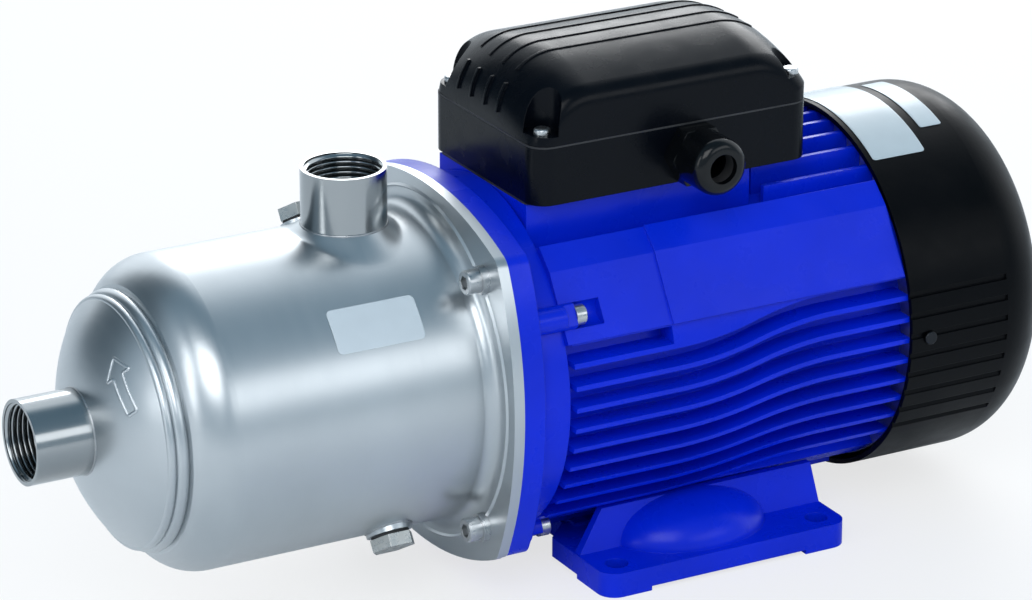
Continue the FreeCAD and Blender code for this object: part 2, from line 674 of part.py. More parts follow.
def make_pump_body():
    body = new_body("pump_body", body_x)
    flange_face = flange_x - body_x
    bowed_square(body, "body_flange", flange_face, S.flange_sheet, S.flange_half)
    # outer skin: cap, two beads, shoulder, sleeve, flare and raised ring
    cap_tip = S.cap_radius - root(S.cap_radius * S.cap_radius - S.cap_edge * S.cap_edge)
    shoulder_x = S.dome_depth - S.shoulder_radius * SIN60
    shoulder_edge = S.sleeve_radius - S.shoulder_radius / 2
    bead_one = (cap_tip + S.bead_short, S.cap_edge + S.bead_rise)
    bead_two = (bead_one[0] + S.bead_long, bead_one[1] + S.bead_rise)
    outer = sketch_on(body, "XY_Plane", "outer_skin")
    outline(outer, [
        (ZERO, ZERO),
        (cap_tip, S.cap_edge, S.cap_radius, -1),
        bead_one + (bead_arc(S.bead_short, S.bead_rise), -1),
        bead_two + (bead_arc(S.bead_long, S.bead_rise), -1),
        (shoulder_x, shoulder_edge),
        (S.dome_depth, S.sleeve_radius, S.shoulder_radius, -1),
        (flange_face - S.flare_radius, S.sleeve_radius),
        (flange_face, S.sleeve_radius + S.flare_radius, S.flare_radius, 1),
        (flange_face, S.ring_radius - S.ring_height),
        (flange_face - S.ring_height, S.ring_radius),
        (flange_face, S.ring_radius + S.ring_height),
        (flange_face + S.flange_sheet, S.ring_radius + S.ring_height),
        (flange_face + S.flange_sheet, ZERO)])
    spin(body, outer)
    # pulled collar under the discharge port
    edge = S.port_radius + S.collar_reach
    low = S.discharge_seat - S.collar_reach * 1.6
    rim = S.discharge_seat - S.collar_reach * 1.25
    collar = sketch_on(body, "XZ_Plane", "collar", slide=port_at)
    outline(collar, [(ZERO, low), (edge, low), (edge, rim),
                     (S.port_radius, S.discharge_seat, S.collar_reach * 1.2, -1),
                     (ZERO, S.discharge_seat)])
    spin(body, collar, axis="V_Axis")
    # inner skin
    inner_cap = S.cap_radius - S.sheet_wall
    inner_edge = S.cap_edge - S.sheet_wall
    inner_tip = inner_cap - root(inner_cap * inner_cap - inner_edge * inner_edge)
    step_x = shoulder_x + S.sheet_wall * SIN60
    inner = sketch_on(body, "XY_Plane", "inner_skin")
    outline(inner, [
        (S.sheet_wall, ZERO),
        (S.sheet_wall + inner_tip, inner_edge, inner_cap, -1),
        (step_x, bead_two[1] - S.sheet_wall),
        (step_x, shoulder_edge - S.sheet_wall / 2),
        (S.dome_depth, sleeve_bore, S.shoulder_radius - S.sheet_wall, -1),
        (body_length, sleeve_bore),
        (body_length, ZERO)])
    spin(body, inner, "PartDesign::Groove")
    # openings: suction, discharge, plugs and flange bolts
    suction = sketch_on(body, "YZ_Plane", "suction_bore")
    circles(suction, [(ZERO, ZERO)], S.port_radius + S.fit)
    extrude(body, suction, cap_tip, "PartDesign::Pocket", reverse=True)
    discharge = sketch_on(body, "XY_Plane", "discharge_bore", S.discharge_seat + S.fit)
    circles(discharge, [(port_at, ZERO)], S.port_bore)
    extrude(body, discharge, S.discharge_seat, "PartDesign::Pocket")
    for name, lean in PLUG_LEANS:
        bore = lean_plane(body, name + "_bore", lean, S.boss_top)
        circles(bore, [(port_at, ZERO)], S.plug_shank + S.fit)
        extrude(body, bore, S.boss_top / 2, "PartDesign::Pocket")
    bolts = sketch_on(body, "YZ_Plane", "bolt_holes", flange_face)
    circles(bolts, flange_spots, S.bolt_radius + S.fit)
    extrude(body, bolts, S.flange_sheet, "PartDesign::Pocket", reverse=True)
    seats = sketch_on(body, "YZ_Plane", "washer_seats", flange_face)
    circles(seats, flange_spots, S.washer_radius + S.gap)
    extrude(body, seats, S.ring_height * 2, "PartDesign::Pocket")
    return body


pump_body = make_pump_body()

# Ports, welded to the body
suction_port = turned("suction_port", body_x - S.suction_length + S.suction_seat,
                      ring(S.port_bore, S.port_radius, S.suction_length))
discharge_port = new_body("discharge_port", port_x, ZERO, S.axis_height + S.discharge_seat)
port_ring = sketch_on(discharge_port, "XY_Plane", "discharge_ring")
circles(port_ring, [(ZERO, ZERO)], S.port_radius)
circles(port_ring, [(ZERO, ZERO)], S.port_bore)
extrude(discharge_port, port_ring, S.discharge_mouth - S.discharge_seat)

# Plug bosses, saddled on the sleeve
boss_foot = sleeve_bore - S.sheet_wall
boss = tube(S.plug_shank + S.fit, S.boss_radius, boss_foot, S.boss_top - boss_foot, Z_AXIS)
boss = boss.cut(tube(0, S.sleeve_radius + S.fit, -S.boss_radius * 2, S.boss_radius * 4))
plug_bosses = piece("plug_bosses", [about_x(boss, lean) for _, lean in PLUG_LEANS], port_x)


# Fill and drain plugs with their sealing washers

def leaned_body(label, lean, height):
    """Body whose own +Z points away from the shaft along the plug axis, at a height over it."""
    side = -math.sin(math.radians(lean))
    up = math.cos(math.radians(lean))
    return new_body(label, port_x, height * side, S.axis_height + height * up, Rotation(X_AXIS, lean))


def ring_pad(body, name, inner, outer, start, length):
    sketch = sketch_on(body, "XY_Plane", name, start)
    circles(sketch, [(ZERO, ZERO)], outer)
    if inner is not None:
        circles(sketch, [(ZERO, ZERO)], inner)
    return extrude(body, sketch, length)


def hexagon_pad(body, name, flats, start, length):
    sketch = sketch_on(body, "XY_Plane", name, start)
    corner = flats / math.sqrt(3)
    half, apothem = corner / 2, flats / 2
    outline(sketch, [(corner, ZERO), (half, apothem), (-half, apothem),
                     (-corner, ZERO), (-half, -apothem), (half, -apothem)])
    return extrude(body, sketch, length)


for name, lean in PLUG_LEANS:
    plug_seal = leaned_body(name + "_plug_seal", lean, S.boss_top)
    ring_pad(plug_seal, name + "_seal_ring", S.plug_shank + S.fit * 2, S.plug_flats / 2 - S.gap,
             ZERO, S.plug_washer)
    plug = leaned_body(name + "_plug", lean, S.boss_top + S.plug_washer)
    hexagon_pad(plug, name + "_hexagon", S.plug_flats, ZERO, S.plug_head)
    ring_pad(plug, name + "_thread", None, S.plug_shank, -S.plug_length, S.plug_length)

# Flange bolts and washers
washer_x = flange_x - S.washer_thick
bolt_reach = S.washer_thick + S.flange_sheet + S.seal_plate + S.bracket_flange
bolt = cap_screw(S.bolt_head, S.bolt_head_tall, S.bolt_radius, bolt_reach)
washer = tube(S.bolt_radius + S.fit, S.washer_radius, 0, S.washer_thick)
bolt_points = [Vector(0, float(y), float(z)) for y, z in flange_spots]
flange_bolts = piece("flange_bolts", [bolt.translated(p) for p in bolt_points], washer_x)
flange_washers = piece("flange_washers", [washer.translated(p) for p in bolt_points], washer_x)


# Seal housing, O-ring and shaft seal

def make_seal_housing():
    body = new_body("seal_housing", rim_x)
    dish = sleeve_bore - S.fit
    wall = dish - S.seal_plate
    front = -S.dish_depth
    bowed_square(body, "seal_rim", ZERO, S.seal_plate, S.flange_half - S.gap)
    well = sketch_on(body, "XY_Plane", "seal_well")
    rectangle(well, -S.seal_plate, ZERO, S.seal_plate * 2, wall)
    spin(body, well, "PartDesign::Groove")
    profile = sketch_on(body, "XY_Plane", "seal_dish")
    outline(profile, [
        (front - S.seat_length, S.seat_radius + S.fit), (front, S.seat_radius + S.fit),
        (front, S.dish_lip), (front + S.seal_plate, S.dish_lip), (front + S.seal_plate, wall),
        (S.seal_plate, wall), (S.seal_plate, dish), (front, dish),
        (front, S.seal_hub), (front - S.seat_length, S.seal_hub)])
    spin(body, profile)
    holes = sketch_on(body, "YZ_Plane", "rim_holes")
    circles(holes, flange_spots, S.bolt_radius + S.fit)
    extrude(body, holes, S.seal_plate, "PartDesign::Pocket", reverse=True)
    return body


seal_housing = make_seal_housing()
body_o_ring = new_body("body_o_ring", dish_x - S.o_ring_wire)
o_ring_section = sketch_on(body_o_ring, "XY_Plane", "o_ring_section")
circles(o_ring_section, [(ZERO, sleeve_bore - S.fit - S.o_ring_wire)], S.o_ring_wire)
spin(body_o_ring, o_ring_section)
seal_seat = turned("seal_seat", dish_x - S.seat_length,
                   ring(S.pump_shaft + 1, S.seat_radius, S.seat_length))
seal_ring = turned("seal_ring", bellows_x + S.bellows_length,
                   ring(S.pump_shaft + S.gap, S.seal_ring, S.seal_ring_length))
fold = S.bellows_length / 6
fold_low, fold_high = S.seal_ring - 3, S.seal_ring - 0.5
bellows_corners = [(ZERO, shaft_bore), (S.bellows_length, shaft_bore), (S.bellows_length, fold_high)]
for step in range(5, 0, -1):
    bellows_corners.append((fold * step, fold_low if step % 2 else fold_high))
bellows_corners.append((ZERO, fold_high))
seal_bellows = turned("seal_bellows", bellows_x, bellows_corners)
seal_collar = turned("seal_collar", collar_x, ring(shaft_bore, S.seal_ring - 1, S.seal_collar))
slinger = turned("slinger", S.joint_x + S.slinger_length, [
    (ZERO, shaft_bore), (S.slinger_length, shaft_bore), (S.slinger_length, S.dish_lip),
    (S.slinger_length / 2, S.seal_hub), (ZERO, S.seal_hub), (S.slinger_length / 4, S.dish_lip),
    (ZERO, S.dish_lip)])


# Stages: casings, wear rings, impellers and diffusers

def vane(inner, outer, sweep, start, length):
    """Curved vane between two radii that sweeps back by an angle in degrees."""
    radii = [float(inner), (float(inner) + float(outer)) / 2, float(outer)]
    bends = [0, sweep * 0.62, sweep]
    near = [on_circle(r, a) for r, a in zip(radii, bends)]
    far = [on_circle(r, a + math.degrees(float(S.vane_thick) / r)) for r, a in zip(radii, bends)]
    edges = [Part.Arc(*near).toShape(), Part.makeLine(near[2], far[2]),
             Part.Arc(far[2], far[1], far[0]).toShape(), Part.makeLine(far[0], near[0])]
    side = Part.Face(Part.Wire(edges)).extrude(X_AXIS * float(length))
    return side.translated(X_AXIS * float(start))


casing_bore = S.stage_radius - S.stage_wall
neck_outer = S.eye_radius + S.stage_wall
wear_outer = neck_outer + S.gap + S.wear_width


def impeller_shape():
    rear = hub_end - S.impeller_sheet
    neck_front = -S.stage_wall / 3
    rounds = [
        tube(shaft_bore, S.hub_radius, hub_front, hub_end - hub_front),
        tube(S.hub_radius, S.impeller_radius, rear, S.impeller_sheet),
        tube(S.eye_radius, S.impeller_radius, S.shroud_front, S.impeller_sheet),
        tube(S.eye_radius, neck_outer, neck_front, S.shroud_front - neck_front)]
    blade = vane(S.hub_radius + 2, S.impeller_radius, 70,
                 S.shroud_front + S.impeller_sheet / 2, S.passage + S.impeller_sheet)
    return joined(rounds + around(blade, IMPELLER_VANES))


def diffuser_shape():
    back = S.guide_disc + S.guide_sheet
    disc = tube(S.spacer_radius + S.gap, S.guide_radius, S.guide_disc, S.guide_sheet)
    guide = vane(S.impeller_radius + 2, casing_bore - S.gap, -32, S.stage_wall, S.guide_disc - S.stage_wall)
    back_vane = vane(S.eye_radius + 5, S.guide_radius + 2, -48, back, S.stage_pitch - back)
    return joined([disc] + around(guide, GUIDE_VANES) + around(back_vane, RETURN_VANES, 12))


def casing_shape():
    drum = tube(casing_bore, S.stage_radius, 0, S.stage_pitch)
    return joined([drum, tube(wear_outer + S.fit, casing_bore, 0, S.stage_wall)])


stage_steps = [X_AXIS * (float(S.stage_pitch) * number) for number in range(STAGES)]
wear = tube(neck_outer + S.gap, wear_outer, 0, S.stage_wall * 1.5)
stage_casings = piece("stage_casings", [casing_shape().translated(s) for s in stage_steps], stage_x)
diffusers = piece("diffusers", [diffuser_shape().translated(s) for s in stage_steps], stage_x)
wear_rings = piece("wear_rings", [wear.translated(s) for s in stage_steps], stage_x)
for number in range(STAGES):
    piece("impeller_%d" % (number + 1), impeller_shape(), stage_x + S.stage_pitch * number)

# Shaft spacers: between the impellers, and from the last one to the shaft seal
spacers = []
for number in range(STAGES):
    start = S.stage_pitch * number + hub_end
    end = start + S.stage_pitch - hub_end + hub_front
    if number == STAGES - 1:
        end = collar_x - stage_x
    spacers.append(tube(shaft_bore, S.spacer_radius, start, end - start))
shaft_spacers = piece("shaft_spacers", spacers, stage_x)

# Outlet cage between the last stage and the seal housing
cage_length = dish_x - cage_x
cage_bore = S.stage_radius - S.cage_wall
cage = joined([tube(cage_bore, S.stage_radius, 0, cage_length),
               tube(S.guide_radius - 6, cage_bore, 0, S.stage_wall)])
window = block((cage_length * 0.17, -S.window_width / 2, cage_bore - 9),
               (cage_length * 0.8, S.window_width / 2, S.stage_radius + 2))
outlet_cage = piece("outlet_cage", cage.cut(around(window, CAGE_WINDOWS)).removeSplitter(), cage_x)

# Shaft and the impeller nut
nut_x = stage_x + hub_front - S.nut_flange - S.nut_length
shaft_x = nut_x - 1
clip_x = fan_x + S.fan_length
steps = [(front_bearing_x, S.pump_shaft), (front_bearing_x + S.front_width, S.bearing_shaft),
         (frame_end, S.rotor_shaft), (spring_x, S.rear_shaft), (clip_x, S.fan_shaft),
         (clip_x + S.clip_width, S.fan_shaft - S.clip_depth), (clip_x + S.clip_width * 4, S.fan_shaft)]
shaft_corners = [(ZERO, ZERO)]
here = ZERO
for station, radius in steps:
    shaft_corners += [(here, radius), (station - shaft_x, radius)]
    here = station - shaft_x
shaft = turned("shaft", shaft_x, shaft_corners + [(here, ZERO)])
nut_bore = tube(0, shaft_bore, 0, S.nut_length + S.nut_flange)
nut = joined([hexagon(S.nut_flats, 0, S.nut_length), tube(0, S.nut_flats * 0.6, S.nut_length, S.nut_flange)])
impeller_nut = piece("impeller_nut", nut.cut(nut_bore), nut_x)

# Bearings: front and rear, each an inner ring, an outer ring and its balls
BEARINGS = ((front_bearing_x, S.front_bearing, S.bearing_shaft, S.front_width),
            (frame_end, S.rear_bearing, S.rear_shaft, S.rear_width))
inner_rings, outer_rings, balls = [], [], []
for start, outer, journal, width in BEARINGS:
    low, high = journal + S.race_wall, outer - S.race_wall
    inner_rings.append(tube(journal + S.fit, low, start, width))
    outer_rings.append(tube(high, outer, start, width))
    centre = Vector(float(start + width / 2), 0, float((low + high) / 2))
    balls += around(Part.makeSphere(float((high - low) / 2 - S.fit), centre), BALLS)
bearing_inner_rings = piece("bearing_inner_rings", inner_rings)
bearing_outer_rings = piece("bearing_outer_rings", outer_rings)
bearing_balls = piece("bearing_balls", balls)
wave_spring = turned("wave_spring", spring_x,
                     ring(S.rear_bearing - S.race_wall, S.rear_bearing - S.fit, S.wave_spring))


# Bracket between pump end and motor frame

def make_bracket():
    body = new_body("bracket", S.joint_x)
    web_front = S.bracket_flange - 1
    web_back = web_front + S.bracket_web
    seat = front_bearing_x - S.joint_x
    seat_end = seat + S.front_width
    hub = S.front_bearing + S.bearing_wall
    spigot = S.frame_bore - S.fit
    spigot_end = S.bracket_length + S.spigot_length
    motor_spots = spots_on(S.motor_screw_circle, MOTOR_SCREW_ANGLES)
    bowed_square(body, "bracket_plate", ZERO, S.bracket_flange, S.flange_half - S.gap * 2)
    bosses = sketch_on(body, "YZ_Plane", "screw_bosses", S.bracket_flange)
    circles(bosses, motor_spots, S.screw_pocket)
    extrude(body, bosses, S.bracket_length - S.bracket_flange)
    chamber = sketch_on(body, "XY_Plane", "bracket_chamber")
    rectangle(chamber, -S.bracket_web, ZERO, spigot_end, S.bracket_chamber)
    spin(body, chamber, "PartDesign::Groove")
    bell = sketch_on(body, "XY_Plane", "bracket_bell")
    outline(bell, [
        (web_front, S.dish_lip), (seat, S.dish_lip), (seat, S.front_bearing + S.fit),
        (seat_end, S.front_bearing + S.fit), (seat_end, hub), (web_back, hub),
        (web_back, spigot - S.bracket_web), (spigot_end, spigot - S.bracket_web), (spigot_end, spigot),
        (S.bracket_length, spigot), (S.bracket_length, S.bracket_neck), (web_front, S.bracket_neck)])
    spin(body, bell)
    holes = sketch_on(body, "YZ_Plane", "bracket_holes")
    circles(holes, flange_spots, S.bolt_radius + S.fit)
    extrude(body, holes, S.bracket_flange, "PartDesign::Pocket", reverse=True)
    taps = sketch_on(body, "YZ_Plane", "motor_taps", S.bracket_length)
    circles(taps, motor_spots, S.screw_radius + S.fit)
    extrude(body, taps, S.screw_grip + 2, "PartDesign::Pocket")
    return body


bracket = make_bracket()


# Motor frame: a bored casting with waved side fins, corner panels, top and bottom ribs

def wave_edges(start, end, height):
    """Fin line in the XZ plane: level, an S of two tangent arcs up by one pitch, level."""
    begin, length = float(S.wave_start), float(S.wave_length)
    rise = float(S.fin_pitch)
    radius = (length * length + rise * rise) / (4 * rise)
    half = math.asin(length / 2 / radius) / 2
    finish = begin + length
    bend_x, bend_z = radius * math.sin(half), radius * (1 - math.cos(half))

    def at(x, z):
        return Vector(x, 0, z + height)

    middle = at(begin + length / 2, rise / 2)
    lower = Part.Arc(at(begin, 0), at(begin + bend_x, bend_z), middle).toShape()
    upper = Part.Arc(middle, at(finish - bend_x, rise - bend_z), at(finish, rise)).toShape()
    return [Part.makeLine(at(start, 0), at(begin, 0)), lower, upper,
            Part.makeLine(at(finish, rise), at(end, rise))]


def strip(lower, upper):
    """Face between a lower and an upper line in the XZ plane, extruded across the shaft."""
    ends = [Part.makeLine(lower[0].Vertexes[0].Point, upper[0].Vertexes[0].Point),
            Part.makeLine(lower[-1].Vertexes[-1].Point, upper[-1].Vertexes[-1].Point)]
    wire = Part.Wire(Part.__sortEdges__(lower + upper + ends))
    return Part.Face(wire).extrude(Y_AXIS * (float(S.fin_radius) * 1.2))


def corner_block(angles, outer, start, end):
    """Block whose outer corners lie at given angles beside the shaft."""
    inner = S.frame_bore + S.frame_wall / 2
    corners = [on_circle(outer, a) for a in angles]
    corners += [on_circle(inner, angles[-1]), on_circle(inner, angles[0])]
    return prism(corners, X_AXIS * float(end - start)).translated(X_AXIS * float(start))


def frame_side():
    """Fins and panels of the +Y side."""
    start, end = float(S.fin_inset), float(S.frame_length - S.fin_inset)
    half, top = float(S.fin_thick) / 2, float(S.fin_top)
    inner = S.frame_bore + S.frame_wall / 2
    step = float(S.wave_start) - 2
    fins = [block((start, 0, top - half), (step, S.fin_radius * 1.2, top + half))]
    for number in range(1, LONG_FINS + 1):
        level = top - number * float(S.fin_pitch)
        fins.append(strip(wave_edges(start, end, level - half), wave_edges(start, end, level + half)))
    limit = tube(inner, S.fin_radius, 0, S.frame_length)
    fins = [fin.common(limit) for fin in fins]
    # smooth filler between the corner panel and the first long fin
    ceiling = top + half * 2
    high_line = [Part.makeLine(Vector(step, 0, ceiling), Vector(end, 0, ceiling))]
    filler = strip(wave_edges(step, end, top - float(S.fin_pitch)), high_line).common(limit)
    panel = S.fin_radius + S.panel_rise
    panel_end = S.frame_length - S.cover_overlap - 1
    blocks = [corner_block(UPPER_BLOCK_ANGLES, S.fin_radius - S.gap, ZERO, S.frame_length),
              corner_block(UPPER_BLOCK_ANGLES, panel, ZERO, panel_end),
              corner_block(UPPER_BLOCK_ANGLES, panel + S.panel_step, S.wave_start - 2, panel_end),
              corner_block(LOWER_BLOCK_ANGLES, S.fin_radius - 1.8, ZERO, S.frame_length)]
    return joined(blocks + fins + [filler])


def box_screw_spots(origin_x):
    """Box screws through the box floor into the pedestal, counted from a station along the shaft."""
    middle = S.box_front + S.pedestal_length / 2 - origin_x
    reach = S.pedestal_length / 2 - S.box_screw_in
    return [Vector(float(middle + reach * a), float(S.box_screw_y * b), 0) for a, b in CORNERS]


def frame_shape():
    length, core = float(S.frame_length), float(S.frame_bore + S.frame_wall)
    bottom = float(S.foot_saddle - S.axis_height)
    pedestal_start = float(S.box_front - frame_x)
    pedestal_end = pedestal_start + float(S.pedestal_length)
    rib_start = pedestal_end + float(S.pedestal_gap)
    half, thick = float(S.pedestal_half), float(S.rib_thick) / 2
    inset = float(S.fin_inset)
    rib_end = length - float(S.cover_overlap) - inset
    side = frame_side()
    bulk = [tube(0, core, 0, length), side, side.mirror(ORIGIN, Y_AXIS),
            block((pedestal_start, -half, core - 20), (pedestal_end, half, S.pedestal_top))]
    for number in range(-4, 5):
        y = number * float(S.rib_pitch)
        high = math.sqrt(float(S.fin_radius) ** 2 - y * y)
        bulk.append(block((rib_start, y - thick, core - 16), (length, y + thick, high)))
    for number in range(-2, 3):
        y = number * float(S.rib_pitch)
        bulk.append(block((inset, y - thick, bottom), (rib_end, y + thick, -core + 8)))
    foot_spots = [Vector(float(S.foot_screw_x * a - frame_x), 0, 0) for a in SIDES]
    bulk += [tube(0, S.foot_screw_head + 3, bottom, -core + 3 - bottom, Z_AXIS, spot) for spot in foot_spots]
    motor_spots = [on_circle(S.motor_screw_circle, a) for a in MOTOR_SCREW_ANGLES]
    limit = tube(0, S.bracket_neck + S.screw_pocket, 0, S.spigot_length)
    bulk += [tube(0, S.screw_pocket, 0, S.spigot_length, centre=spot).common(limit) for spot in motor_spots]
    under_box = block((rib_start - 1, -S.box_half - 3, S.pedestal_top - 0.5),
                      (S.box_front + S.box_length - frame_x + 2, S.box_half + 3, S.fin_radius + 5))
    seat = float(S.cover_overlap + S.gap)
    under_cover = tube(cover_bore - S.fit, S.fin_radius + 10, length - seat, seat)
    cuts = [tube(0, S.frame_bore, 0, length), under_box, under_cover]
    cuts += [tube(0, S.screw_radius + S.fit, 0, S.spigot_length, centre=spot) for spot in motor_spots]
    cuts += [tube(0, S.screw_pocket, S.spigot_length, S.pocket_length, centre=spot) for spot in motor_spots]
    cuts += [tube(0, S.screw_radius + S.fit, length - 14, 14, centre=on_circle(shield_screw_circle, a))
             for a in SHIELD_SCREW_ANGLES]
    cuts += [tube(0, S.foot_screw + S.fit, bottom, S.foot_screw_grip + 1, Z_AXIS, spot)
             for spot in foot_spots]
    cuts += [tube(0, S.box_screw + S.fit, S.pedestal_top - 9, 9, Z_AXIS, spot)
             for spot in box_screw_spots(frame_x)]
    wire_spot = Vector(float(S.wire_hole_x - frame_x), 0, 0)
    cuts.append(tube(0, S.wire_hole, S.frame_bore - 4, S.pedestal_top, Z_AXIS, wire_spot))
    return joined(bulk).cut(cuts).removeSplitter()


motor_frame = piece("motor_frame", frame_shape(), frame_x)


def rear_screws(label, circle, angles, shank, x):
    """Socket screws whose heads look towards the fan."""
    screw = cap_screw(S.screw_head, S.screw_head_tall, S.screw_radius, shank)
    screw.rotate(ORIGIN, Z_AXIS, 180)
    return piece(label, [screw.translated(on_circle(circle, a)) for a in angles], x)


motor_screws = rear_screws("motor_screws", S.motor_screw_circle, MOTOR_SCREW_ANGLES,
                           S.spigot_length + S.screw_grip, frame_x + S.spigot_length)
shield_screws = rear_screws("shield_screws", shield_screw_circle, SHIELD_SCREW_ANGLES,
                            S.shield_wall + 12, frame_end + S.shield_wall)

# Stator and rotor
stator_x = S.stator_middle - S.stator_length / 2
stator_core = turned("stator_core", stator_x, ring(S.stator_bore, S.frame_bore - S.fit, S.stator_length))
winding_round = float(S.winding_outer - S.winding_inner) / 4
winding_heads = []
for start, free in ((-S.winding_length, -S.winding_length),
                    (S.stator_length, S.stator_length + S.winding_length)):
    head = tube(S.winding_inner, S.winding_outer, start, S.winding_length)
    winding_heads.append(head.makeFillet(winding_round, rims_at(head, float(free))))
stator_windings = piece("stator_windings", winding_heads, stator_x)
rotor_radius = S.stator_bore - S.air_gap
rotor_core = turned("rotor_core", stator_x, ring(S.rotor_shaft + S.fit, rotor_radius, S.stator_length))
rotor_end_rings = piece("rotor_end_rings", [
    tube(rotor_radius - 12, rotor_radius - 2, start, S.end_ring)
    for start in (-S.end_ring, S.stator_length)], stator_x)


# Rear shield with the rear bearing seat and the lugs of the fan cover

lug_top = root(cover_bore * cover_bore - S.lug_half * S.lug_half) - S.fit


def radial_holes(body, name, station, radius, height, depth):
    """Holes from both sides and from below, square to the shaft."""
    for side, role, offset, turned_over in (("near", "XZ_Plane", height, False),
                                            ("far", "XZ_Plane", -height, True),
                                            ("low", "XY_Plane", -height, True)):
        hole = sketch_on(body, role, "%s_%s" % (name, side), offset)
        circles(hole, [(station, ZERO)], radius)
        extrude(body, hole, depth, "PartDesign::Pocket", reverse=turned_over)


def make_rear_shield():
    body = new_body("rear_shield", frame_end)
    spigot = S.frame_bore - S.fit
    spigot_bore = spigot - S.bearing_wall
    hub = S.rear_bearing + S.bearing_wall
    lip = S.rear_width + S.wave_spring
    seat = S.rear_bearing + S.fit
    lip_bore = S.rear_shaft + S.race_wall
    profile = sketch_on(body, "XY_Plane", "shield_profile")
    outline(profile, [
        (-S.spigot_length, spigot_bore), (-S.spigot_length, spigot), (ZERO, spigot),
        (ZERO, shield_radius), (S.shield_wall, shield_radius), (S.shield_wall, hub),
        (lip + 2, hub), (lip + 2, lip_bore), (lip, lip_bore), (lip, seat), (ZERO, seat), (ZERO, spigot_bore)])
    spin(body, profile)
    lugs = sketch_on(body, "YZ_Plane", "cover_lugs")
    lug_foot = S.frame_bore
    for a in SIDES:
        rectangle(lugs, lug_foot * a, -S.lug_half, lug_top * a, S.lug_half)
    rectangle(lugs, -S.lug_half, -lug_top, S.lug_half, -lug_foot)
    extrude(body, lugs, S.lug_length)
    holes = sketch_on(body, "YZ_Plane", "shield_holes", -S.spigot_length)
    circles(holes, spots_on(shield_screw_circle, SHIELD_SCREW_ANGLES), S.screw_radius + S.fit)
    extrude(body, holes, S.spigot_length + S.shield_wall, "PartDesign::Pocket", reverse=True)
    radial_holes(body, "lug_hole", S.cover_screw_x, S.cover_screw + S.fit, lug_top + 1,
                 S.cover_screw_grip + 2)
    return body


rear_shield = make_rear_shield()

# Fan and its clip
sheet_half = float(S.fan_sheet) / 2
blade_low = float(S.fan_hub) - 1
blade = prism([(sheet_half, -sheet_half, blade_low), (S.fan_length, -sheet_half, blade_low),
               (S.fan_length, -sheet_half, fan_radius - 8), (S.fan_length - 6, -sheet_half, fan_radius),
               (sheet_half, -sheet_half, fan_radius)], Y_AXIS * float(S.fan_sheet))
fan = piece("fan", joined([tube(S.fan_shaft + S.fit, S.fan_hub, 0, S.fan_length),
                           tube(S.fan_hub, fan_radius, 0, S.fan_sheet)] + around(blade, FAN_BLADES)), fan_x)
fan_clip = turned("fan_clip", clip_x + S.fit,
                  ring(S.fan_shaft - S.clip_depth + S.fit, S.fan_shaft + 2, S.clip_width - S.fit * 2))


# Fan cover: drum with a rounded rear, side grooves and a grille of ring slots

def make_fan_cover():
    body = new_body("fan_cover", cover_x)
    bend = (S.cover_round_long * S.cover_round_long + S.cover_round * S.cover_round) / (S.cover_round * 2)
    straight = S.cover_length - S.cover_round_long
    back = S.cover_length - S.cover_wall
    inner_bend = bend - S.cover_wall
    inner_run = S.cover_round_long - S.cover_wall
    inner_end = S.cover_radius - bend + root(inner_bend * inner_bend - inner_run * inner_run)
    profile = sketch_on(body, "XY_Plane", "cover_profile")
    outline(profile, [
        (ZERO, cover_bore), (ZERO, S.cover_radius), (straight, S.cover_radius),
        (S.cover_length, S.cover_radius - S.cover_round, bend, -1), (S.cover_length, ZERO),
        (back, ZERO), (back, inner_end), (straight, cover_bore, inner_bend, 1)])
    spin(body, profile)
    grooves = sketch_on(body, "YZ_Plane", "side_grooves")
    for number in range(COVER_GROOVES):
        level = S.groove_top - S.groove_pitch * number
        surface = root(S.cover_radius * S.cover_radius - level * level)
        for a in SIDES:
            rectangle(grooves, (surface - S.groove_depth) * a, level - S.groove_width / 2,
                      S.cover_radius * 1.1 * a, level + S.groove_width / 2)
    extrude(body, grooves, straight, "PartDesign::Pocket", reverse=True)
    radial_holes(body, "cover_hole", S.cover_overlap + S.cover_screw_x, S.cover_screw + S.fit,
                 S.cover_radius + 1, S.cover_wall + 2)
    slots = sketch_on(body, "YZ_Plane", "grille_slots", back - S.cover_wall)
    for number in range(GRILLE_RINGS):
        low = S.slot_first + S.slot_pitch * number
        high = low + S.slot_width
        half_angle = math.pi / GRILLE_SECTORS - float(S.slot_bar / 2 / low)
        cosine, sine = math.cos(half_angle), math.sin(half_angle)
        outline(slots, [(low * cosine, low * -sine, low, -1), (high * cosine, high * -sine),
                        (high * cosine, high * sine, high, 1), (low * cosine, low * sine)])
    cut = extrude(body, slots, S.cover_wall * 3, "PartDesign::Pocket", reverse=True)
    grille = body.newObject("PartDesign::PolarPattern", "grille")
    grille.Originals = [cut]
    grille.Axis = ([f for f in body.Origin.OriginFeatures if f.Role == "X_Axis"][0], [""])
    grille.Angle = 360
    grille.Occurrences = GRILLE_SECTORS
    body.Tip = grille
    return body


fan_cover = make_fan_cover()
cover_screw = tube(0, S.cover_screw_head, S.cover_radius + S.fit, S.cover_screw_tall, Z_AXIS)
cover_screw = cover_screw.makeFillet(float(S.cover_screw_tall) / 2, [
    e for e in cover_screw.Edges if e.BoundBox.ZMin > float(S.cover_radius + S.cover_screw_tall) - 1e-6])
cover_screw_foot = lug_top - S.cover_screw_grip
cover_screw = joined([cover_screw, tube(0, S.cover_screw, cover_screw_foot,
                                        S.cover_radius + S.fit - cover_screw_foot, Z_AXIS)])
fan_cover_screws = piece("fan_cover_screws", [about_x(cover_screw, angle) for angle in (90, -90, 180)],
                         frame_end + S.cover_screw_x)


# Terminal box: gaskets, base, cover, screws, and what is inside

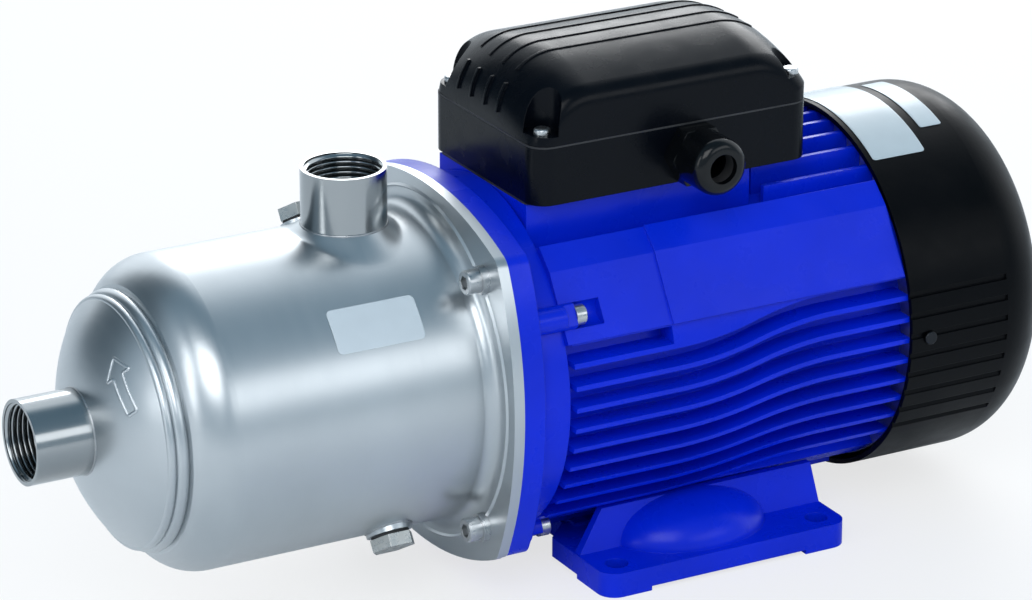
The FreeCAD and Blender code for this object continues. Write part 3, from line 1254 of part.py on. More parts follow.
length, half, wall = float(S.box_length), float(S.box_half), float(S.box_wall)
inset = float(S.lid_screw_in)
lid_screw_spots = [Vector(inset if a < 0 else length - inset, b * (half - inset), 0) for a, b in CORNERS]
gland_spot = Vector(float(S.gland_x - S.box_front), 0, float(S.gland_z - box_bottom))
box_wire_spot = Vector(float(S.wire_hole_x - S.box_front), 0, 0)
box_bores = [(S.box_screw + S.fit, spot) for spot in box_screw_spots(S.box_front)]
box_bores.append((S.wire_hole, box_wire_spot))


def box_base_shape():
    tall, corner = float(S.box_height), float(S.box_corner)
    outer = rounded_box((0, -half, 0), (length, half, tall), corner)
    inner = rounded_box((wall, wall - half, wall), (length - wall, half - wall, tall + 1), corner - wall)
    screw_posts = [tube(0, inset - wall / 2, 0, tall, Z_AXIS, spot) for spot in lid_screw_spots]
    grip = S.lid_screw_grip + 2
    cuts = [tube(0, S.lid_screw + S.fit, tall - grip.value, grip, Z_AXIS, spot) for spot in lid_screw_spots]
    cuts += [tube(0, radius, 0, wall, Z_AXIS, spot) for radius, spot in box_bores]
    cuts.append(tube(0, S.gland_thread + S.fit, half - wall - 1, wall + 2, -Y_AXIS, gland_spot))
    return outer.cut(inner).fuse(screw_posts).cut(cuts).removeSplitter()


def lid_solid(margin):
    """The cover's form drawn in by a margin: a roll at the pump end, a fall at the fan end."""
    top = float(S.lid_height)
    roll, slope, drop = float(S.lid_roll), float(S.lid_slope), top - float(S.lid_rear)
    bend = (slope * slope + drop * drop) / (2 * drop)
    bend_x, bend_z = length - slope, top - bend
    bend -= margin
    rear = length - margin
    rear_z = bend_z + math.sqrt(bend * bend - (rear - bend_x) ** 2)
    fall = math.asin((rear - bend_x) / bend) / 2
    roll_x, roll_z = roll, top - roll
    diagonal = (roll - margin) * math.sqrt(0.5)

    crown = top - float(S.lid_crown)

    def at(x, z):
        return Vector(x, 0, z)

    corners = [at(margin, crown / 2), at(rear, crown / 2), at(rear, rear_z), at(bend_x, top - margin),
               at(roll_x, top - margin), at(margin, roll_z)]
    on_fall = at(bend_x + bend * math.sin(fall), bend_z + bend * math.cos(fall))
    on_roll = at(roll_x - diagonal, roll_z + diagonal)
    edges = [Part.makeLine(corners[0], corners[1]), Part.makeLine(corners[1], corners[2]),
             Part.Arc(corners[2], on_fall, corners[3]).toShape(), Part.makeLine(corners[3], corners[4]),
             Part.Arc(corners[4], on_roll, corners[5]).toShape(), Part.makeLine(corners[5], corners[0])]
    # the profile swings about an axis far below, which crowns the top across the shaft
    profile = Part.Face(Part.Wire(edges))
    profile.rotate(Vector(0, 0, crown), X_AXIS, -60)
    swung = profile.revolve(Vector(0, 0, crown), X_AXIS, 120)
    solid = swung.common(block((margin, margin - half, 0), (rear, half - margin, top * 2)))
    side = half - margin - 1e-3
    long_edges = [e for e in solid.Edges
                  if (e.BoundBox.YMin > side or e.BoundBox.YMax < -side) and e.BoundBox.ZMax > 1e-3]
    return solid.makeFillet(float(S.box_corner) - margin, long_edges)


def seat_of(spot):
    """Height of the screw seat at one of the cover's corners."""
    return S.lid_seat_front if spot.x < length / 2 else S.lid_seat_rear


def lid_shape():
    top = float(S.lid_height)
    corner_posts = [tube(0, S.lid_recess + wall * 0.8, -1, top + 2, Z_AXIS, spot) for spot in lid_screw_spots]
    recesses = [tube(0, S.lid_recess, seat_of(spot), top, Z_AXIS, spot) for spot in lid_screw_spots]
    recesses += [tube(0, S.lid_screw + S.fit, -1, top, Z_AXIS, spot) for spot in lid_screw_spots]
    hollow = lid_solid(wall).cut(corner_posts)
    thick = float(S.lid_rib_width) / 2
    ribs = []
    for rise, reach, low, high in ((S.lid_rib, S.lid_rib_end, S.lid_rib_low, top * 2),
                                   (S.lid_short_rib, S.lid_roll, S.lid_short_low, S.lid_short_high)):
        skin = lid_solid(-float(rise)).cut(lid_solid(wall / 2))
        slabs = [block((-5, y - thick, low), (reach, y + thick, high)) for y in LID_RIBS_Y]
        ribs += [skin.common(slab) for slab in slabs]
    return lid_solid(0).cut(hollow).fuse(ribs).cut(recesses).removeSplitter()


def lid_screw_shape(spot):
    """Pan-head screw standing in a cover recess."""
    seat, tall = seat_of(spot), S.lid_screw_head_tall
    shank = seat + S.seam + S.lid_screw_grip
    head = tube(0, S.lid_screw_head, seat, tall, Z_AXIS, spot)
    top_rim = [e for e in head.Edges if e.BoundBox.ZMin > float(seat + tall) - 1e-6]
    head = head.makeFillet(float(tall) * 0.4, top_rim)
    return joined([head, tube(0, S.lid_screw, seat - shank, shank, Z_AXIS, spot)])


base_z = S.axis_height + box_bottom
seam_z = base_z + S.box_height
lid_z = seam_z + S.seam
pedestal_pad = rounded_box((0, -S.pedestal_half, 0), (S.pedestal_length, S.pedestal_half, S.box_gasket), 3)
pedestal_pad = pedestal_pad.cut([tube(0, radius, 0, S.box_gasket, Z_AXIS, spot)
                                 for radius, spot in box_bores])
box_gasket = piece("box_gasket", pedestal_pad, S.box_front, ZERO, S.axis_height + S.pedestal_top)
terminal_box_base = piece("terminal_box_base", box_base_shape(), S.box_front, ZERO, base_z)
rim = wall + 1
seam_ring = rounded_box((0, -half, 0), (length, half, S.seam), S.box_corner).cut(
    rounded_box((rim, rim - half, 0), (length - rim, half - rim, S.seam), float(S.box_corner) - rim))
seam_ring = seam_ring.cut([tube(0, S.lid_screw + S.fit, 0, S.seam, Z_AXIS, spot) for spot in lid_screw_spots])
cover_gasket = piece("cover_gasket", seam_ring, S.box_front, ZERO, seam_z)
terminal_box_cover = piece("terminal_box_cover", lid_shape(), S.box_front, ZERO, lid_z)
cover_screws = piece("cover_screws", [lid_screw_shape(s) for s in lid_screw_spots], S.box_front, ZERO, lid_z)
box_screw = joined([tube(0, S.box_screw_head, wall, S.box_screw_head_tall, Z_AXIS),
                    tube(0, S.box_screw, S.box_wall - S.box_screw_length, S.box_screw_length, Z_AXIS)])
box_screws = piece("box_screws", [box_screw.translated(s) for s in box_screw_spots(S.box_front)],
                   S.box_front, ZERO, base_z)
stud_spots = [Vector(float(S.terminal_long / 2 + S.terminal_pitch_x * i),
                     float(S.terminal_wide / 2 + S.terminal_pitch_y * j), 0)
              for i in (-1, 0, 1) for j in (-0.5, 0.5)]
studs = [tube(0, S.terminal_stud, S.terminal_tall, S.terminal_stud_tall, Z_AXIS, spot) for spot in stud_spots]
terminal_base = block((0, 0, 0), (S.terminal_long, S.terminal_wide, S.terminal_tall))
terminal_block = piece("terminal_block", joined([terminal_base] + studs),
                       S.box_front + S.terminal_x, -S.terminal_y, base_z + S.box_wall)
capacitor_can = joined([tube(0, S.capacitor_radius, 0, S.capacitor_length),
                        tube(0, S.capacitor_radius / 3, -S.capacitor_tip, S.capacitor_tip)])
capacitor = piece("capacitor", capacitor_can, S.box_front + S.capacitor_x, S.capacitor_y,
                  base_z + S.box_wall + S.capacitor_radius)


# Cable gland on the near side: body, lock nut, sealing ring and dome nut

def gland_piece(label, shape, start):
    """Piece on the gland's axis, whose own +X points out of the box, from its side face."""
    return piece(label, shape, S.gland_x, -S.box_half - start, S.axis_height + S.gland_z,
                 Rotation(Z_AXIS, -90))


thread_out = S.gland_neck
neck_length = S.gland_nut / 2
seal_length = S.gland_nut - neck_length - 3
inside = S.box_wall + S.gland_lock
gland_shape = joined([tube(0, S.gland_thread, -inside, inside), hexagon(S.gland_flats, 0, S.gland_hexagon),
                      tube(0, thread_out, S.gland_hexagon, neck_length)])
gland_bore = tube(0, S.gland_bore, -inside, inside + S.gland_hexagon + S.gland_nut)
gland_body = gland_piece("gland_body", gland_shape.cut(gland_bore), ZERO)
lock_nut = hexagon(S.gland_lock_flats, 0, S.gland_lock).cut(tube(0, S.gland_thread + S.fit, 0, S.gland_lock))
gland_locknut = gland_piece("gland_locknut", lock_nut, -inside)
gland_seal = gland_piece("gland_seal", tube(S.gland_bore, thread_out, 0, seal_length),
                         S.gland_hexagon + neck_length)
dome = tube(0, S.gland_flats / 2 + 0.5, 0, S.gland_nut)
dome = dome.makeFillet(4.5, rims_at(dome, float(S.gland_nut)))
dome = dome.cut([tube(0, thread_out + S.fit, 0, neck_length + seal_length),
                 tube(0, S.gland_bore, 0, S.gland_nut)])
gland_nut = gland_piece("gland_nut", dome, S.gland_hexagon)


# Foot: pads, webs that rise beside the frame, and a domed bulge on each web

def ellipsoid(centre, along, across, tall):
    scale = Matrix()
    scale.scale(float(along), float(across), float(tall))
    return Part.makeSphere(1).transformGeometry(scale).translated(centre)


def foot_shape():
    half_x, half_y = float(S.foot_length) / 2, float(S.foot_width) / 2
    waist_x, waist_y = float(S.waist_length) / 2, float(S.waist_width) / 2
    shoulder_y = waist_y + half_x - waist_x
    pad, relief = float(S.foot_pad), float(S.foot_relief)
    right = [(waist_x, -waist_y), (half_x, -shoulder_y), (half_x, -half_y)]
    left = [(-x, y) for x, y in reversed(right)]
    plan = right + left + [(-x, -y) for x, y in right + left]
    plate = prism([(x, y, relief) for x, y in plan], Z_AXIS * (pad - relief))
    upright = [e for e in plate.Edges if e.BoundBox.ZLength > 1 and e.BoundBox.YLength < 1e-6
               and abs(e.BoundBox.YMin) > half_y - 1e-3]
    plate = plate.makeFillet(float(S.foot_corner), upright)
    feet = rounded_box((-half_x, -half_y, 0), (half_x, half_y, relief), S.foot_corner)
    feet = feet.cut([block((-half_x + 22, -half_y, 0), (half_x - 22, half_y, relief)),
                     block((-half_x, -half_y + 26, 0), (half_x, half_y - 26, relief))])
    # webs, bulges and what is cut away behind them
    base_y, top_y, web_wall = float(S.web_base_y), float(S.web_top_y), float(S.web_wall)
    inner_base, inner_top = base_y - web_wall, top_y - web_wall + 1
    top, top_x, middle_x = float(S.web_top), float(S.web_top_length) / 2, float(S.web_top_middle)
    webs, bulges, hollows, tunnels = [], [], [], []
    for b in SIDES:
        low = [Vector(x, b * y, pad - 1) for x, y in
               ((-half_x, base_y), (half_x, base_y), (half_x, inner_base), (-half_x, inner_base))]
        high = [Vector(x + middle_x, b * y, top) for x, y in
                ((-top_x, top_y), (top_x, top_y), (top_x, inner_top), (-top_x, inner_top))]
        outlines = [Part.makePolygon(points + points[:1]) for points in (low, high)]
        webs.append(Part.makeLoft(outlines, True, True))
        centre = Vector(-4, b * (base_y - 5), pad)
        bulge = ellipsoid(centre, S.bulge_long, S.bulge_wide, S.bulge_tall)
        bulges.append(bulge.cut(block((-half_x, -2 * half_y, -pad * 2), (half_x, 2 * half_y, pad - 1))))
        hollow = ellipsoid(centre, S.bulge_long - S.bulge_wall, S.bulge_wide - S.bulge_wall,
                           S.bulge_tall - S.bulge_wall)
        low_y, high_y = sorted((b * (base_y + 1), b * 2 * half_y))
        hollows.append(hollow.common(block((-half_x, low_y, -pad), (half_x, high_y, pad * 3))))
        section = [(b * inner_base, pad), (b * inner_top, top), (b * inner_top, top * 2),
                   (0, top * 2), (0, pad)]
        tunnels.append(prism([(-half_x, y, z) for y, z in section], X_AXIS * (2 * half_x)))
    solid = joined([plate, feet] + bulges).cut(tunnels)
    saddle = block((-waist_x + 3, -S.saddle_half, S.foot_plate), (waist_x - 3, S.saddle_half, S.foot_saddle))
    solid = joined([solid, saddle] + webs)
    cuts = hollows + [block((-waist_x + 3, 4 - S.saddle_half.value, 0),
                            (waist_x - 3, S.saddle_half - 4, S.foot_plate))]
    hole_x, hole_y = float(S.hole_pitch_x / 2), float(S.hole_pitch_y / 2)
    cuts += [tube(0, S.foot_hole, 0, pad, Z_AXIS, Vector(hole_x * a, hole_y * b, 0)) for a, b in CORNERS]
    cuts += [tube(0, S.foot_screw + S.fit, S.foot_plate, pad, Z_AXIS, Vector(float(S.foot_screw_x * a), 0, 0))
             for a in SIDES]
    return solid.cut(cuts).removeSplitter()


foot = piece("foot", foot_shape(), ZERO, ZERO, ZERO)
foot_screw = cap_screw(S.foot_screw_head, 4, S.foot_screw, S.foot_saddle - S.foot_plate + S.foot_screw_grip)
foot_screw.rotate(ORIGIN, Y_AXIS, -90)
foot_screws = piece("foot_screws", [foot_screw.translated(Vector(float(S.foot_screw_x * a), 0, 0))
                                    for a in SIDES], ZERO, ZERO, S.foot_plate)


# Check every object, then write one file per sub-part

doc.recompute()
faults = ["%s: %s" % (thing.Label, state) for thing in doc.Objects for state in thing.State
          if state in ("Invalid", "Error")]
sub_parts = [thing for thing in doc.Objects if thing.TypeId in ("PartDesign::Body", "Part::Feature")]
for thing in sub_parts:
    if thing.Shape.isNull() or not thing.Shape.isValid() or not thing.Shape.Solids:
        faults.append("%s has no valid shape" % thing.Label)
if faults:
    raise RuntimeError("; ".join(faults))
for thing in sub_parts:
    thing.Shape.exportStep("parts/%s.step" % thing.Label)
print("%d sub-parts written" % len(sub_parts))
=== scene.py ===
"""Looks of a horizontal multistage centrifugal pump with its finned motor.

Metres. +X runs along the shaft from the suction port to the fan, +Z is up, and the origin is
the middle of the foot's four holes. The near side of the photograph is -Y.
"""

import json
import math

import bmesh
import bpy
import numpy as np
from mathutils import Matrix, Vector


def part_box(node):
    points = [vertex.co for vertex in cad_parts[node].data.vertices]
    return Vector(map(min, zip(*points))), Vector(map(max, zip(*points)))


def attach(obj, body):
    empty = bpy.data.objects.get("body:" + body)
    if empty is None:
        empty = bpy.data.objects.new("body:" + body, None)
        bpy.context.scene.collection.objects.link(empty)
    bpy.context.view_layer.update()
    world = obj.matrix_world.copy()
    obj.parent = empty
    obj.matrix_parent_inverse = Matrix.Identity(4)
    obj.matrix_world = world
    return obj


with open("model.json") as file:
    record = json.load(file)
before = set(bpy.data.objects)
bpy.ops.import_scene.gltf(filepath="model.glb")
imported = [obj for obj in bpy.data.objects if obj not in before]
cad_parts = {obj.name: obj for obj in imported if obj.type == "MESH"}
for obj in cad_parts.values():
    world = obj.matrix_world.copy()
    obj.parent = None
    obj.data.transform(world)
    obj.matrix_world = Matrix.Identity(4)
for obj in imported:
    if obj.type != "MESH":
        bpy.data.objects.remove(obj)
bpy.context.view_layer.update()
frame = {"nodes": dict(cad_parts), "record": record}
mounts = {mount["name"]: mount for mount in frame["record"]["mounts"]}
suction, discharge = mounts["suction_port"], mounts["discharge_port"]

MM = 0.001
TURN = 2 * math.pi
X_AXIS, Y_AXIS, Z_AXIS = np.eye(3)

# Places and sizes that the looks share with the solids
SHAFT_HEIGHT = suction["pos_m"][2]
SUCTION_MOUTH = suction["pos_m"][0]
SUCTION_DEPTH = suction["dims"]["length_mm"] * MM
DISCHARGE_X = discharge["pos_m"][0]
DISCHARGE_MOUTH = discharge["pos_m"][2]
DISCHARGE_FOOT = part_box("discharge_port")[0].z
PORT_BORE = suction["dims"]["r_mm"] * MM
PORT_RADIUS = (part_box("suction_port")[1].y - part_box("suction_port")[0].y) / 2
SLEEVE_RADIUS = 67.25 * MM
CAP_RADIUS = 82.4 * MM
CAP_EDGE_DIP = CAP_RADIUS - math.sqrt(CAP_RADIUS ** 2 - PORT_RADIUS ** 2)
CAP_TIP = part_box("pump_body")[0].x - CAP_EDGE_DIP
COVER_RADIUS = (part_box("fan_cover")[1].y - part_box("fan_cover")[0].y) / 2
PLUG_LEAN = math.radians(34)
BOSS_RADIUS = 10 * MM

# Pipe thread: 11 turns to the inch
THREAD_PITCH = 2.309 * MM
THREAD_DEPTH = 1.479 * MM
THREAD_STEEPNESS = 1.5  # of its flanks, which leaves flat crests
THREAD_ROOT = 0.2  # taken off the wave, which leaves flat roots
THREAD_FADE = 0.9 * THREAD_PITCH  # length over which it fades out
THREAD_END = 0.4 * MM  # short of the mouth and of its inner end
THREAD_ROOT_SINK = 0.05 * MM  # roots inside the port's wall
THREAD_BACK_SINK = 0.5 * MM  # back inside the port's wall
THREAD_ROWS = 12  # to a pitch
THREAD_COLUMNS = 96
SUCTION_PLAIN_END = 4 * MM
DISCHARGE_PLAIN_END = 2 * MM

# Neck drawn out of the sleeve up to the discharge port
NECK_TOP = 69.5 * MM  # over the shaft
NECK_REACH = 4.8 * MM  # beyond the port along the shaft
NECK_SPREAD = 0.62  # across the shaft, as a share of the way to the tangent
NECK_SLOPE = math.radians(38)  # in which it leaves the port
NECK_PULL = 0.9  # of its end directions, as a share of its span
NECK_INSIDE = 0.97  # share of the port's radius where its top begins, within the wall
NECK_LIFT = 0.02 * MM  # of its edge over the sleeve
NECK_TUCK = 2 * MM  # of its edge along the sleeve, and
NECK_SINK = 0.1 * MM  # into the sleeve
NECK_COLUMNS = 160
NECK_ROWS = 22

# Beads
RING_POINTS = 192  # along a weld round a port
SADDLE_POINTS = 128  # along a weld round a boss
BEAD_SIDES = 16  # round a bead's section

# Bare film labels
CORNER_STEPS = 24
OUTLINE_POINTS = 240
PLATE_RINGS = 24
PLATE_FACE = 0.985  # share of the outline that is flat
PLATE_EDGE = (0.7, 0.1)  # heights of its edge, as shares of the thickness
PLATE_LIFT = 0.1 * MM  # over the surface that it lies on

# Studio
FLOOR_SIZE = 12
FLOOR_PLACE = (0, 2, 0)
FLOOR_COLOR = (0.86, 0.87, 0.88)
FLOOR_GLOW = 0.72  # share of plain white that only the camera sees
LAMP_AIM = (-0.03, 0, 0.09)
LAMPS = (  # name, place, width, height, watts
    ("key", (-1.1, -1.5, 1.7), 1.5, 1.3, 22),
    ("fill", (0.75, -1.75, 0.95), 1.4, 0.7, 5),
    ("back_strip", (0.9, 1.3, 0.9), 1.2, 0.7, 12),
    ("side_strip", (-1.6, -0.3, 0.7), 0.3, 1.0, 3.5),
)

# Surround. Each stop of a colour: height of the direction, level, how blue it is
ROOM = ((0.0, 0.42, 0.6), (0.35, 0.38, 0.7), (0.7, 0.29, 0.9), (1.0, 0.24, 1.0))
CORNER = ((0.0, 0.09, 1.0), (0.5, 0.07, 1.0), (1.0, 0.1, 1.0))
BACKDROP = ((0.0, 1.0, 0.25), (0.5, 1.0, 0.25), (0.86, 0.9, 0.3), (1.0, 0.35, 0.9))
BLUE_RED_LOSS, BLUE_GREEN_LOSS = 0.55, 0.25
# Zones: the way they lie, and the shares of a direction that way where each begins and is full
CORNER_ZONE = ((0, 1, 0), 0.34, 0.52)
BACKDROP_ZONE = ((0.75, 0.66, 0), 0.33, 0.50)
SURROUND_STRENGTH = 1.5

# Camera of the photograph
CAMERA_AZIMUTH = math.radians(-29.02)
CAMERA_ELEVATION = math.radians(21.18)
CAMERA_AIM = Vector((-48.71, 20.29, 100.0)) * MM
CAMERA_DISTANCE = 2138.4 * MM
CAMERA_LENS, CAMERA_SENSOR = 172.27, 36


# Meshes over grids of points

def grid_faces(rows, columns, closed_rows):
    """Corner numbers of the quads of a grid. Each row joins its last point to its first, and
    with closed rows the last row joins the first."""
    row = np.arange(rows if closed_rows else rows - 1)[:, None]
    column = np.arange(columns)[None, :]
    next_row, next_column = (row + 1) % rows, (column + 1) % columns
    corners = (row * columns + column, row * columns + next_column,
               next_row * columns + next_column, next_row * columns + column)
    return np.stack([corner.ravel() for corner in corners], axis=1)


def surface(name, points, finish, body="root", closed_rows=False):
    """Smooth mesh over a grid of points (rows, columns, 3) that rides on a body. Each row is a
    closed ring. Coincident points at poles are merged and all faces are turned outwards."""
    rows, columns, _ = points.shape
    mesh = bpy.data.meshes.new(name)
    faces = grid_faces(rows, columns, closed_rows)
    mesh.from_pydata(points.reshape(-1, 3).tolist(), [], faces.tolist())
    work = bmesh.new()
    work.from_mesh(mesh)
    bmesh.ops.remove_doubles(work, verts=work.verts, dist=1e-7)
    bmesh.ops.dissolve_degenerate(work, edges=work.edges, dist=1e-8)
    bmesh.ops.recalc_face_normals(work, faces=work.faces)
    work.to_mesh(mesh)
    work.free()
    mesh.shade_smooth()
    piece = bpy.data.objects.new(name, mesh)
    bpy.context.scene.collection.objects.link(piece)
    piece.data.materials.append(finish)
    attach(piece, body)


def unit(vectors):
    """Each vector over its length."""
    return vectors / np.linalg.norm(vectors, axis=-1, keepdims=True)


def bead(name, path, normals, width, height, finish, ripple=0.0, ripples=0):
    """Half-round bead along a closed path on a surface: at each point of the path an ellipse of
    the given half width and height, across the path and along the surface's normal, its lower
    half a third as high. A weld's ripples swell it by the absolute sine of place along it."""
    along = np.roll(path, -1, axis=0) - np.roll(path, 1, axis=0)
    across = unit(np.cross(unit(along), normals))
    angle = np.linspace(0, TURN, BEAD_SIDES, endpoint=False)
    rise = np.where(np.sin(angle) > 0, np.sin(angle), np.sin(angle) / 3)
    place = np.arange(len(path)) / len(path)
    swell = (1 + ripple * np.abs(np.sin(math.pi * ripples * place)))[:, None, None]
    grid = (path[:, None, :]
            + across[:, None, :] * (np.cos(angle) * width)[None, :, None] * swell
            + normals[:, None, :] * (rise * height)[None, :, None] * swell)
    surface(name, grid, finish, closed_rows=True)


def circle(centre, first, second, radius, steps=RING_POINTS):
    """Points of a circle about a centre in the plane of two unit vectors, and its outward
    directions: the angle's cosine along the first and its sine along the second."""
    angle = np.linspace(0, TURN, steps, endpoint=False)[:, None]
    out = np.cos(angle) * first + np.sin(angle) * second
    return centre + out * radius, out


def thread_sleeve(name, mouth, axis, first, second, length, finish):
    """Internal thread. The radius falls from the bore by the thread's depth times a triangle
    wave, with flat crests and roots, of place along the axis over the pitch minus the angle over
    a turn, and fades out at both ends. Its back lies inside the port's wall."""
    rows = int(length / THREAD_PITCH * THREAD_ROWS)
    place = np.linspace(THREAD_END, length - THREAD_END, rows)
    angle = np.linspace(0, TURN, THREAD_COLUMNS, endpoint=False)
    phase = (place[:, None] / THREAD_PITCH - angle[None, :] / TURN) % 1
    triangle = 1 - np.abs(2 * phase - 1)
    wave = np.clip(THREAD_STEEPNESS * triangle - THREAD_ROOT, 0, 1)
    fade = np.clip(np.minimum(place, length - place) / THREAD_FADE, 0, 1)[:, None]
    radius = PORT_BORE + THREAD_ROOT_SINK - THREAD_DEPTH * wave * fade
    back = np.full((1, THREAD_COLUMNS), PORT_BORE + THREAD_BACK_SINK)
    radius = np.concatenate([back, radius, back])
    place = np.concatenate([place[:1], place, place[-1:]])
    out = np.cos(angle)[:, None] * first + np.sin(angle)[:, None] * second
    grid = mouth - axis * place[:, None, None] + out[None, :, :] * radius[:, :, None]
    surface(name, grid, finish, closed_rows=True)


def rounded_rectangle(half_long, half_wide, corner):
    """Outline of a rectangle with round corners: four quarter circles, each about its own
    corner's centre, then points spaced evenly along the closed line through them."""
    angle = np.linspace(0, TURN, 4 * CORNER_STEPS, endpoint=False)
    quarter = (np.arange(4 * CORNER_STEPS) // CORNER_STEPS) * (TURN / 4)
    turn = (angle - quarter) * CORNER_STEPS / (CORNER_STEPS - 1) + quarter
    middle = quarter + TURN / 8
    signs = np.stack([np.sign(np.cos(middle)), np.sign(np.sin(middle))], axis=1)
    centres = np.array([half_long - corner, half_wide - corner]) * signs
    bends = centres + corner * np.stack([np.cos(turn), np.sin(turn)], axis=1)
    closed = np.concatenate([bends, bends[:1]])
    steps = np.linalg.norm(np.diff(closed, axis=0), axis=1)
    place = np.concatenate([[0], np.cumsum(steps)])
    even = np.linspace(0, place[-1], OUTLINE_POINTS, endpoint=False)
    return np.stack([np.interp(even, place, closed[:, side]) for side in (0, 1)], axis=1)


def wrapped_plate(name, radius, middle_x, middle_angle, half_long, half_wide, corner, thick,
                  finish):
    """Thin plate on a cylinder about the shaft: a rounded rectangle whose first axis lies along
    the shaft and whose second is bent round it, as rings from its middle out over the edge and
    back."""
    spread = np.linspace(0, PLATE_FACE, PLATE_RINGS)
    shares = np.concatenate([spread, [1, 1], spread[::-1]])
    heights = np.concatenate([np.ones(PLATE_RINGS), PLATE_EDGE, np.zeros(PLATE_RINGS)])
    reach = radius + (heights * thick + PLATE_LIFT)[:, None]
    flat = rounded_rectangle(half_long, half_wide, corner)[None, :, :] * shares[:, None, None]
    angle = middle_angle + flat[:, :, 1] / radius
    grid = np.stack([middle_x + flat[:, :, 0], reach * np.cos(angle),
                     SHAFT_HEIGHT + reach * np.sin(angle)], axis=2)
    surface(name, grid, finish)


# Finishes

EVEN = (1, 1, 1)
RING_GRAIN = (1, 0.006, 0.006)
UPRIGHT_GRAIN = (0.006, 0.006, 1)
SHEET_GRAIN = (1, 0.002, 0.002)
SCRATCHES = (1, 0.2, 0.2)
STRANDS = (0.15, 1, 1)


def shade(color, share):
    """Colour times a share, no brighter than white."""
    return tuple(min(1, channel * share) for channel in color)


def color_sockets(sockets):
    """The sockets of a Mix node that are in use when it mixes colours."""
    return [socket for socket in sockets if socket.type == "RGBA"]


class Finish:
    """A procedural material: its node tree and its shader, with patterns on Object coordinates."""

    def __init__(self, name, color, metallic, roughness, **sockets):
        self.material = bpy.data.materials.new(name)
        self.material.use_nodes = True
        self.tree = self.material.node_tree
        self.shader = self.tree.nodes["Principled BSDF"]
        self.set("Base Color", (*color, 1))
        self.set("Metallic", metallic)
        self.set("Roughness", roughness)
        for socket, value in sockets.items():
            self.set(socket.replace("_", " "), value)
        self.relief = None

    def set(self, socket, value):
        """Sets a value of the shader."""
        self.shader.inputs[socket].default_value = value

    def node(self, kind, **inputs):
        """New node with some of its inputs set, with underscores for spaces in their names."""
        made = self.tree.nodes.new("ShaderNode" + kind)
        for key, value in inputs.items():
            made.inputs[key.replace("_", " ")].default_value = value
        return made

    def link(self, source, target):
        """Joins an output to an input."""
        self.tree.links.new(source, target)

    def noise(self, scale, stretch=EVEN, detail=3):
        """Noise from 0 to 1 on the Object coordinates, stretched along an axis."""
        place = self.node("TexCoord")
        mapping = self.node("Mapping", Scale=stretch)
        noise = self.node("TexNoise", Scale=scale, Detail=detail)
        self.link(place.outputs["Object"], mapping.inputs["Vector"])
        self.link(mapping.outputs["Vector"], noise.inputs["Vector"])
        return noise.outputs["Fac"]

    def between(self, factor, low, high):
        """The middle of a noise, from 0.3 to 0.7, stretched between two values."""
        spread = self.node("MapRange", From_Min=0.3, From_Max=0.7, To_Min=low, To_Max=high)
        self.link(factor, spread.inputs["Value"])
        return spread.outputs["Result"]

    def tint(self, factor, first, second):
        """Base colour between two colours."""
        mix = self.node("Mix")
        mix.data_type = "RGBA"
        for socket, color in zip(color_sockets(mix.inputs), (first, second)):
            socket.default_value = (*color, 1)
        self.link(self.between(factor, 0, 1), mix.inputs["Factor"])
        self.link(color_sockets(mix.outputs)[0], self.shader.inputs["Base Color"])

    def rough(self, factor, low, high):
        """Roughness between two values."""
        self.link(self.between(factor, low, high), self.shader.inputs["Roughness"])

    def bump(self, height, depth, rounding=0.0):
        """Relief of a depth in metres, over any relief laid before it. The first may also round
        the edges over a width."""
        relief = self.node("Bump", Strength=1.0, Distance=depth)
        self.link(height, relief.inputs["Height"])
        if self.relief is not None:
            self.link(self.relief, relief.inputs["Normal"])
        elif rounding:
            soft = self.node("Bevel", Radius=rounding)
            soft.samples = 4
            self.link(soft.outputs["Normal"], relief.inputs["Normal"])
        self.relief = relief.outputs["Normal"]
        self.link(self.relief, self.shader.inputs["Normal"])


def spun_steel(name, color, roughness, grain, fineness=1680, depth=0.002 * MM):
    """Stainless steel with fine lathe lines round an axis, and a faint cloudiness."""
    finish = Finish(name, color, 1.0, roughness)
    lines = finish.noise(fineness, grain, detail=4)
    cloud = finish.noise(28)
    finish.rough(lines, roughness - 0.02, roughness + 0.02)
    finish.tint(cloud, shade(color, 0.96), shade(color, 1.03))
    finish.bump(lines, depth)
    finish.bump(finish.noise(900, detail=2), depth * 0.5)
    return finish.material


def cast_paint(name, color):
    """Semi-gloss paint on a casting: slow mottle, orange peel, fine sand and round edges."""
    finish = Finish(name, color, 0.0, 0.3, Specular_IOR_Level=0.2)
    finish.tint(finish.noise(22, detail=4), shade(color, 0.9), shade(color, 1.08))
    finish.rough(finish.noise(60, detail=4), 0.24, 0.36)
    finish.bump(finish.noise(260, detail=2), 0.05 * MM, rounding=0.55 * MM)
    finish.bump(finish.noise(1100, detail=2), 0.02 * MM)
    return finish.material


def moulded(name, color, roughness, grain, depth, shine=0.5):
    """Moulded plastic with a fine etched grain, slight flow clouds and round edges."""
    finish = Finish(name, color, 0.0, roughness, Specular_IOR_Level=shine)
    finish.tint(finish.noise(18, detail=4), shade(color, 0.82), shade(color, 1.2))
    finish.rough(finish.noise(75, detail=4), roughness - 0.05, roughness + 0.07)
    finish.bump(finish.noise(grain, detail=2), depth, rounding=0.5 * MM)
    return finish.material


def plated(name, color, roughness, patches=300):
    """Plated or machined steel: patchy sheen and fine scratches."""
    finish = Finish(name, color, 1.0, roughness)
    finish.rough(finish.noise(patches, detail=5), roughness - 0.08, roughness + 0.12)
    finish.tint(finish.noise(140), shade(color, 0.88), color)
    finish.bump(finish.noise(1600, SCRATCHES), 0.01 * MM, rounding=0.2 * MM)
    return finish.material


